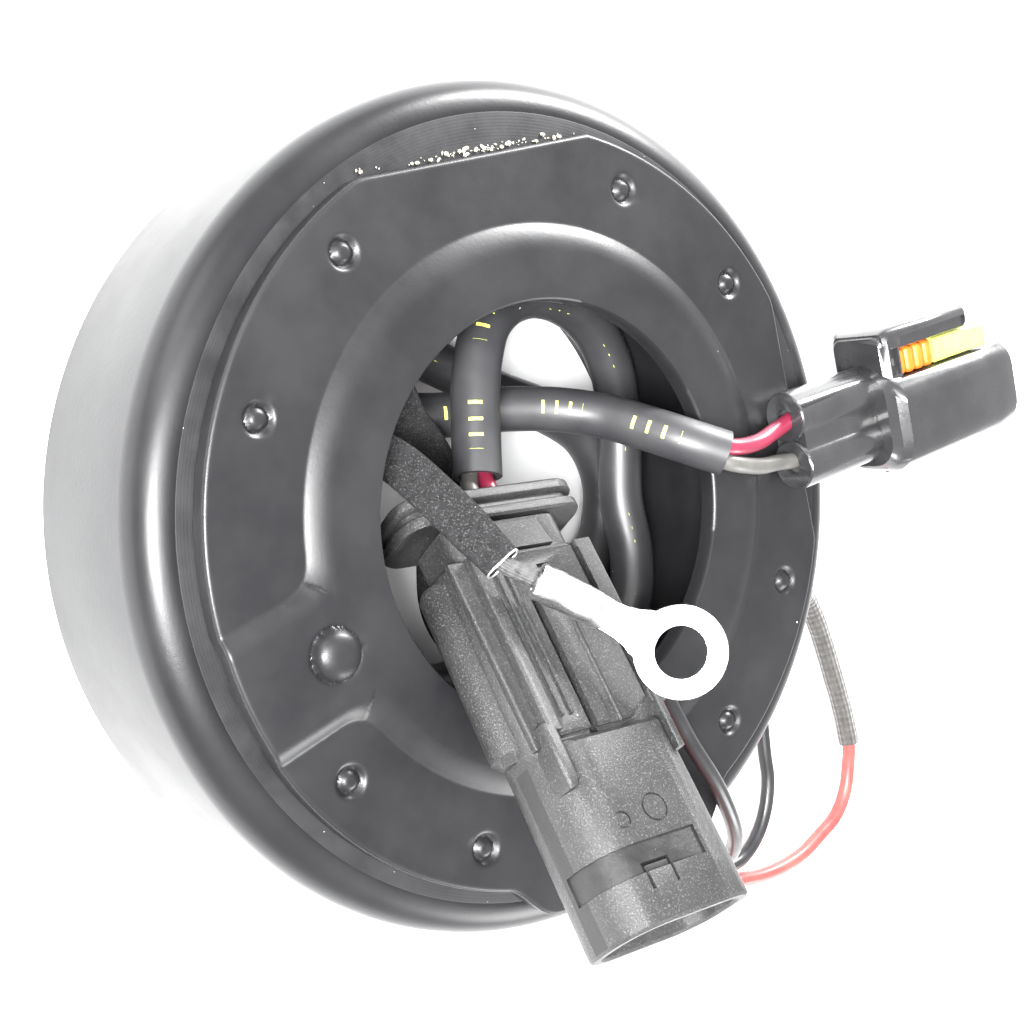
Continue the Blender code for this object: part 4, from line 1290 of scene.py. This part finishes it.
class SocketConnector:
    """The large grained connector: shroud, ribbed body, back cover and blades.

    X runs back from the mouth, Z up from the top face, and Y to the left of someone who
    looks into the top face from the mouth.
    """

    def __init__(self) -> None:
        """Places the connector."""
        turn, tilt = math.radians(-54.9), math.radians(35.0)
        out = Vector((math.cos(tilt) * math.cos(turn), math.cos(tilt) * math.sin(turn),
                      math.sin(tilt)))
        self.frame = rig((18.2, -36.8, 49.35), -out, (0, 0, 1))

    def build(self, frame: dict) -> list[bpy.types.Object]:
        """Makes the connector.

        Args:
            frame: The loaded frame.

        Returns:
            The pieces of it that are on the long sleeve.
        """
        f = self.frame
        inner = rounded(7.3, 4.8, 3.6, steps=8)
        outer = rounded(8.7, 6.2, 5.0, steps=8)
        edge = rounded(8.45, 5.95, 4.8, steps=8)
        mouth = rounded(7.55, 5.05, 3.8, steps=8)
        body = rounded(9.3, 4.55, 3.4, (0.0, 0.35), 8)
        shoulder = rounded(9.0, 4.3, 3.2, (0.0, 0.35), 8)
        neck = rounded(7.7, 3.9, 1.5, steps=8)
        housing = Form().loft(stations(
            (17.0, inner), (0.3, inner), (0.0, mouth), (0.0, edge), (0.3, outer),
            (19.4, outer), (20.2, body), (41.5, body), (42.0, shoulder), (42.3, neck), (46.4, neck),
        ), f).make("socket_body", SOCKET_NYLON)
        joined = self.top() + self.sides()
        combined(housing, joined, self.cuts(), bevel=0.22, angle=40)
        housing.data.materials.append(SOCKET_BAND.material())
        back = f.inverted()
        for face in housing.data.polygons:
            place = back @ (face.center / MM)
            if 5.0 < place.x < 8.0 and place.z > -0.6 and place.y > -3.5:
                face.material_index = 1
        placed(housing, nodes=("socket_housing",))
        cover = self.cover()
        pieces = [housing, cover]
        for label in ("a", "b"):
            dress(frame, f"socket_blade_{label}", TIN)
        pieces += self.wires(f)
        return pieces

    def top(self) -> list[Form]:
        """Returns the raised top plate, its rails and its ribs."""
        f = self.frame
        plate = Form().loft([
            [(x, y, z) for x, y in outline]
            for outline, z in (
                (self.plan(0.0), 4.2), (self.plan(0.0), 5.25), (self.plan(0.25), 5.5),
            )
        ], f)
        found = [plate]
        found.append(Form().loft(stations(
            (21.0, rounded(0.85, 0.9, 0.4, (6.9, 5.3))), (41.6, rounded(0.85, 0.9, 0.4, (6.9, 5.3))),
        ), f))
        found.append(Form().loft(stations(
            (21.6, rounded(1.2, 1.0, 0.4, (-7.6, 4.9))), (41.6, rounded(1.2, 1.0, 0.4, (-7.6, 4.9))),
        ), f))
        for y in (5.0, 3.8):
            found.append(Form().loft(stations(
                (22.5, rounded(0.22, 0.28, 0.1, (y, 5.55), 3)),
                (40.5, rounded(0.22, 0.28, 0.1, (y, 5.55), 3)),
            ), f))
        return found

    @staticmethod
    def plan(trim: float) -> list[tuple[float, float]]:
        """Returns the outline of the top plate from above, drawn in by a trim."""
        return [
            (20.6 + trim, 6.6 - trim), (20.6 + trim, -3.4 + trim), (22.4 + trim, -6.2 + trim),
            (41.4 - trim, -6.2 + trim), (41.4 - trim, 6.6 - trim),
        ]

    def sides(self) -> list[Form]:
        """Returns the side lugs and the rounded barrel along the left side."""
        f = self.frame
        lug = stations(
            (15.0, rounded(0.5, 1.2, 0.4, (7.6, 4.7))), (15.8, rounded(0.8, 1.7, 0.5, (7.6, 4.6))),
            (21.4, rounded(0.8, 1.7, 0.5, (7.6, 4.6))), (22.0, rounded(0.7, 1.4, 0.4, (7.6, 4.6))),
        )
        thin = stations(
            (16.0, rounded(0.4, 1.1, 0.3, (-6.9, 5.2))), (22.8, rounded(0.4, 1.1, 0.3, (-6.9, 5.2))),
        )
        barrel = stations(
            (20.4, rounded(1.6, 1.6, 1.6, (8.4, -0.4))), (21.4, rounded(2.6, 2.6, 2.6, (8.4, -0.4))),
            (40.6, rounded(2.6, 2.6, 2.6, (8.4, -0.4))), (41.4, rounded(2.0, 2.0, 2.0, (8.4, -0.4))),
        )
        ledge = stations(
            (20.0, rounded(9.0, 0.5, 0.3, (0.0, 3.9))), (41.8, rounded(9.4, 0.5, 0.3, (0.0, 3.9))),
        )
        strap = stations(
            (42.4, rounded(5.2, 0.7, 0.4, (0.4, 4.0))), (45.6, rounded(4.6, 0.7, 0.4, (0.4, 4.0))),
        )
        return [Form().loft(rows, f) for rows in (lug, thin, barrel, ledge, strap)]

    def cuts(self) -> list[Form]:
        """Returns what is cut away: the latch slot, grooves, band and keyway."""
        f = self.frame
        slot = Form().box((20.0, 1.3, 4.2), (35.6, 2.3, 7.0), f)
        long_groove = Form().loft(stations(
            (20.0, rounded(0.8, 0.9, 0.3, (-1.2, 6.0))), (39.6, rounded(0.8, 0.9, 0.3, (-1.2, 6.0))),
        ), f)
        rail_groove = Form().box((23.0, -6.6, 4.9), (40.8, -6.15, 7.0), f)
        band = self.wrap(5.0, 8.0, 0.25, 1)
        step = self.wrap(4.2, 6.8, 0.18, -1)
        latch = [
            Form().box((3.3, 4.1, 5.3), (6.0, 4.45, 7.0), f),
            Form().box((3.3, 1.0, 5.3), (6.0, 1.35, 7.0), f),
            Form().box((5.65, 1.0, 5.3), (6.0, 4.45, 7.0), f),
        ]
        keyway = Form().box((-1.0, -0.6, 4.3), (5.0, 0.6, 5.15), f)
        marks = []
        for x, y, radius in ((10.8, 0.0, 1.5), (10.5, 4.3, 0.9)):
            spot = f @ Matrix.Translation((x, y, 6.0))
            marks.append(Form().lathe(
                [(radius - 0.2, 0.0), (radius, 0.0), (radius, 1.0), (radius - 0.2, 1.0)], 32, spot,
            ))
        return [slot, long_groove, rail_groove, band, step, *latch, keyway, *marks]

    def wrap(self, start: float, end: float, depth: float, side: int) -> Form:
        """Returns a shallow cut that wraps the top and one side of the shroud.

        Args:
            start: Where it starts behind the mouth.
            end: Where it ends.
            depth: How deep it is.
            side: 1 for the left side and -1 for the right.

        Returns:
            The cutter.
        """
        low, high = -0.5, 6.2
        first = -3.4 if side > 0 else 4.0
        turns = [math.pi / 2 * (1 - i / 9) for i in range(10)]

        def line(grow: float) -> list[tuple[float, float]]:
            """Returns the outline of the shroud, grown by an amount."""
            arc = [
                (side * (3.7 + (5.0 + grow) * math.cos(t)), 1.2 + (5.0 + grow) * math.sin(t))
                for t in turns
            ]
            return [(side * first, high + grow), *arc, (side * (8.7 + grow), low)]

        outline = line(-depth) + line(1.2)[::-1]
        return Form().loft(stations((start, outline), (end, outline)), self.frame)

    def cover(self) -> bpy.types.Object:
        """Makes the back cover: two rims with a groove between them, and rounded ends."""
        f, back = self.frame, 46.7
        rim = rounded(12.0, 4.7, 3.0, steps=8)
        soft = rounded(11.75, 4.45, 2.8, steps=8)
        groove = rounded(11.2, 3.9, 2.4, steps=8)
        cover = Form().loft(stations(
            (back, soft), (back + 0.25, rim), (back + 1.1, rim), (back + 1.3, soft),
            (back + 1.4, groove), (back + 2.2, groove), (back + 2.3, soft), (back + 2.5, rim),
            (back + 3.45, rim), (back + 3.7, soft),
        ), f).make("socket_back_cover", SOCKET_NYLON)
        seam = Form().box((back + 1.0, 3.9, 3.2), (back + 4.0, 4.05, 6.0), f)
        holes = [
            Form().loft(stations((back + 2.9, ring(1.35, 20)), (back + 5.0, ring(1.35, 20))),
                        f @ Matrix.Translation((0, y, 2.4))) for y in (0.9, -1.6)
        ]
        combined(cover, [], [seam, *holes], bevel=0.12, angle=40)
        return placed(cover, nodes=("socket_cover",))

    @staticmethod
    def wires(f: Matrix) -> list[bpy.types.Object]:
        """Makes the grey and rose wires between the cover and the sleeve."""
        found = []
        end = Vector(SLEEVE_LONG_ROUTE[-1])
        ahead = (end - Vector(SLEEVE_LONG_ROUTE[-2])).normalized()
        for name, y, look in (("grey", 0.9, GREY), ("rose", -1.6, ROSE)):
            side = (f.to_3x3() @ Vector((0, 1, 0))) * (1.05 if name == "grey" else -1.05)
            route = [f @ Vector((49.8, y, 2.4)), f @ Vector((51.5, y, 2.4)), end + side, end + side - ahead * 3]
            line = spread(route, 0.5)
            made = tube(line, ring(0.98, 20)).make(f"socket_wire_{name}", look)
            found.append(placed(made, nodes=(f"socket_{'grey' if name == 'grey' else 'red'}_wire",)))
        return found


class PlugConnector:
    """The small glossy connector: two necks, hood, orange seal and yellow lock.

    X runs forward from the cable end and Z up.
    """

    def __init__(self) -> None:
        """Places the connector."""
        turn = math.radians(44.6)
        self.frame = rig((25.03, 23.14, 31.3), (math.cos(turn), math.sin(turn), 0), (0, 0, 1))

    def build(self, frame: dict) -> list[bpy.types.Object]:
        """Makes the connector.

        Args:
            frame: The loaded frame.

        Returns:
            The pieces of it that are on the short sleeve.
        """
        f = self.frame
        body = rounded(6.5, 6.0, 4.2, (-1.5, 0.0), 8)
        front = rounded(6.0, 5.4, 3.7, (-1.5, 0.0), 8)
        collar = rounded(6.5, 4.9, 3.4, (-1.1, 0.0), 8)
        cavity = rounded(4.8, 4.3, 1.4, (-1.5, 0.0), 8)
        mouth = rounded(5.1, 4.6, 1.6, (-1.5, 0.0), 8)
        housing = Form().loft(stations(
            (26.0, cavity), (38.1, cavity), (38.4, mouth), (38.4, front),
            (37.9, rounded(6.0, 5.5, 3.8, (-1.5, 0.0), 8)), (34.6, body), (15.6, body), (14.9, collar), (13.4, rounded(5.9, 4.5, 3.2, (-0.8, 0), 8)),
        ), f).make("plug_body", PLUG_NYLON)
        joined, cut = [], []
        for side in (1, -1):
            shift = f @ Matrix.Translation((0, side * 3.0, 0))
            joined.append(Form().loft(stations(
                (0.0, ring(2.9, 32)), (0.2, ring(3.1, 32)), (14.5, ring(3.1, 32)),
            ), shift))
            cut.append(Form().loft(stations((-1, ring(1.15, 32)), (1.5, ring(1.05, 32))), shift))
        channel = Form().box((16.8, 3.75, -3.5), (42.0, 8.0, 8.0), f)
        combined(housing, [], [channel], bevel=0)
        joined += [
            Form().box((0.5, -3.0, -2.3), (14.5, 3.0, 2.35), f),
            Form().loft(stations(
                (14.9, rounded(1.1, 3.9, 0.8, (8.7, 0.2))), (15.9, rounded(1.5, 4.7, 1.0, (8.8, 0))),
                (31.0, rounded(1.5, 4.7, 1.0, (8.8, 0))), (32.0, rounded(1.1, 4.0, 0.8, (8.8, 0))),
            ), f),
            Form().loft(stations(
                (14.6, rounded(3.4, 3.6, 1.2, (6.0, 0.0))), (15.4, rounded(3.8, 4.5, 1.4, (6.0, 0.0))),
                (17.4, rounded(3.8, 4.5, 1.4, (6.0, 0.0))),
            ), f),
            Form().box((16.0, 3.0, -4.6), (32.0, 8.0, -3.6), f),
            Form().loft(stations(
                (16.0, rounded(0.35, 0.4, 0.2, (-7.9, 0.6))), (35.6, rounded(0.35, 0.4, 0.2, (-7.9, 0.6))),
            ), f),
        ]
        cut += [
            Form().box((17.6, 7.6, 4.2), (31.2, 9.0, 5.4), f),
            Form().box((15.6, 4.4, 3.9), (17.1, 7.7, 5.4), f),
        ]
        combined(housing, joined, cut, bevel=0.32, angle=40, segments=3)
        placed(housing, nodes=("plug_housing",))
        mark = Form().box((16.0, 5.5, 3.85), (16.8, 6.4, 3.95), f).make("plug_inspection_mark", GREY)
        placed(combined(mark, [], [], bevel=0.1))
        self.seal()
        self.lock()
        for label in ("a", "b"):
            dress(frame, f"plug_contact_{label}", TIN)
            dress(frame, f"plug_wire_seal_{label}", RUBBER)
        return [housing, *self.wires()]

    def seal(self) -> None:
        """Moulds the orange seal with its four ridges."""
        ribs = []
        for i in range(4):
            at = 17.3 + 1.85 * i
            for x, trim in (
                (at, 0.34), (at + 0.2, 0.12), (at + 0.42, 0.0), (at + 0.98, 0.0),
                (at + 1.2, 0.12), (at + 1.4, 0.34),
            ):
                ribs.append((x, rounded(1.65 - trim / 2, 3.5 - trim, 0.5, (5.65, 0.6), 5)))
        made = Form().loft(stations(*ribs), self.frame).make("orange_seal", ORANGE)
        placed(made, nodes=("plug_seal",))

    def lock(self) -> None:
        """Moulds the sliding yellow lock with its finger bar and dash."""
        f = self.frame @ Matrix.Translation((25.6, 6.2, 0.4))
        made = Form().loft(stations(
            (-0.6, rounded(1.55, 3.5, 0.4, (-0.6, 0.0))), (6.2, rounded(1.55, 3.5, 0.4, (-0.6, 0.0))),
            (6.8, rounded(1.5, 3.9, 0.4, (-0.6, 0.0))), (9.4, rounded(1.5, 3.9, 0.4, (-0.6, 0.0))),
        ), f).make("yellow_lock", YELLOW)
        cuts = [
            Form().box((3.6, -1.0, 3.3), (3.9, 0.2, 4.2), f),
            Form().box((7.6, -1.5, 3.75), (7.9, 0.4, 4.6), f),
        ]
        combined(made, [], cuts, bevel=0.18, angle=40)
        placed(made, LOCK_BODY, ("secondary_lock",))

    def wires(self) -> list[bpy.types.Object]:
        """Makes the rose and grey wires between the sleeve and the necks."""
        ends = {
            "red": ((-6.0, 1.5, 0.7), (-2.5, 1.9, 0.2), (1.2, 2.6, 0.0)),
            "grey": ((-6.0, -1.4, 0.6), (-2.5, -1.9, 0.1), (1.2, -2.6, 0.0)),
        }
        found, end = [], Vector(SLEEVE_SHORT_ROUTE[-1])
        ahead = (end - Vector(SLEEVE_SHORT_ROUTE[-2])).normalized()
        across = self.frame.to_3x3() @ Vector((0, 1, 0))
        for name, look, side in (("red", ROSE, 1.0), ("grey", GREY, -1.0)):
            base = end + across * side
            route = [base - ahead * 3.0, base + ahead * 0.6]
            line = spread(route + [self.frame @ Vector(p) for p in ends[name]], 0.5)
            made = tube(line, ring(1.0, 20)).make(f"plug_wire_{name}", look)
            found.append(placed(made, nodes=(f"plug_{name}_wire",)))
        return found


# --------------------------------------------------------------------------- studio


@dataclass(frozen=True)
class Lamp:
    """One area lamp: where it is, what it points at, its size and its power."""

    name: str
    place: Point
    target: Point
    size: tuple[float, float]
    power: float
    tint: Colour = (1.0, 1.0, 1.0)


LAMPS = (
    Lamp("overhead", (-230.0, -200.0, 640.0), (0, 0, 20), (420.0, 420.0), 6.6),
    Lamp("left", (-460.0, 60.0, 220.0), (-30, 0, 15), (240.0, 240.0), 1.2),
    Lamp("low_right", (420.0, -190.0, 190.0), (10, 0, 20), (240.0, 200.0), 2.8),
    Lamp("right", (30.0, 440.0, 160.0), (16, -20, 45), (220.0, 80.0), 7.5),
    Lamp("beside_camera", (-170.0, -130.0, 250.0), (14, 0, 15), (90.0, 90.0), 4.6),
)


class Studio:
    """Floor, lamps, world and camera."""

    def build(self) -> None:
        """Makes all of it."""
        self.floor()
        self.lamps()
        self.world()
        self.camera()

    def floor(self) -> None:
        """Lays the plain pale floor under the coil."""
        bm = bmesh.new()
        bmesh.ops.create_grid(bm, x_segments=8, y_segments=8, size=2.2)
        mesh = bpy.data.meshes.new("floor")
        bm.to_mesh(mesh)
        bm.free()
        floor = bpy.data.objects.new("floor", mesh)
        bpy.context.scene.collection.objects.link(floor)
        floor.data.materials.append(FLOOR.material())
        floor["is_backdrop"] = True

    def lamps(self) -> None:
        """Hangs the lamps."""
        for lamp in LAMPS:
            data = bpy.data.lights.new(lamp.name, "AREA")
            data.shape, data.size, data.size_y = "RECTANGLE", lamp.size[0] * MM, lamp.size[1] * MM
            data.energy, data.color = lamp.power, lamp.tint
            obj = bpy.data.objects.new(lamp.name, data)
            bpy.context.scene.collection.objects.link(obj)
            place, target = Vector(lamp.place), Vector(lamp.target)
            obj.location = place * MM
            obj.rotation_euler = (target - place).to_track_quat("-Z", "Y").to_euler()

    def world(self) -> None:
        """Sets the even white surroundings."""
        world = bpy.data.worlds.new("surroundings")
        bpy.context.scene.world = world
        world.use_nodes = True
        background = world.node_tree.nodes["Background"]
        background.inputs[0].default_value = (0.985, 0.99, 1.0, 1.0)
        background.inputs[1].default_value = 1.15
        bpy.context.scene.view_settings.view_transform = "Standard"

    def camera(self) -> None:
        """Places the camera close above the left of the coil, looking down at it."""
        data = bpy.data.cameras.new("camera")
        data.sensor_width, data.lens = 36.0, 52.28
        data.clip_start, data.clip_end = 0.005, 20.0
        camera = bpy.data.objects.new("camera", data)
        bpy.context.scene.collection.objects.link(camera)
        ahead = Vector((0.5317, 0.2593, -0.8062)).normalized()
        up = Vector((-0.4742, 0.8798, -0.0298))
        side = ahead.cross(up).normalized()
        turned = Matrix((side, side.cross(ahead), -ahead)).transposed().to_4x4()
        turned.translation = Vector((-91.03, -44.84, 157.83)) * MM
        camera.matrix_world = turned
        bpy.context.scene.camera = camera


def note_size(label: str, sizes: dict) -> None:
    """Keeps the object's bounds.

    Args:
        label: When they were taken.
        sizes: The bounds so far.
    """
    sizes[label] = [list(corner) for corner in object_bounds()]


def main() -> None:
    """Builds the coil, the plate, the harness with its connectors, and the studio."""
    logging.basicConfig(level=logging.INFO, format="%(message)s")
    frame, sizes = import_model(), {}
    note_size("frame", sizes)
    Coil().build(frame)
    MountingPlate().build()
    harness = Harness()
    harness.build()
    terminal = RingTerminal().build()
    socket = SocketConnector().build(frame)
    plug = PlugConnector().build(frame)
    Studio().build()
    note_size("built", sizes)


if __name__ == "__main__":
    main()
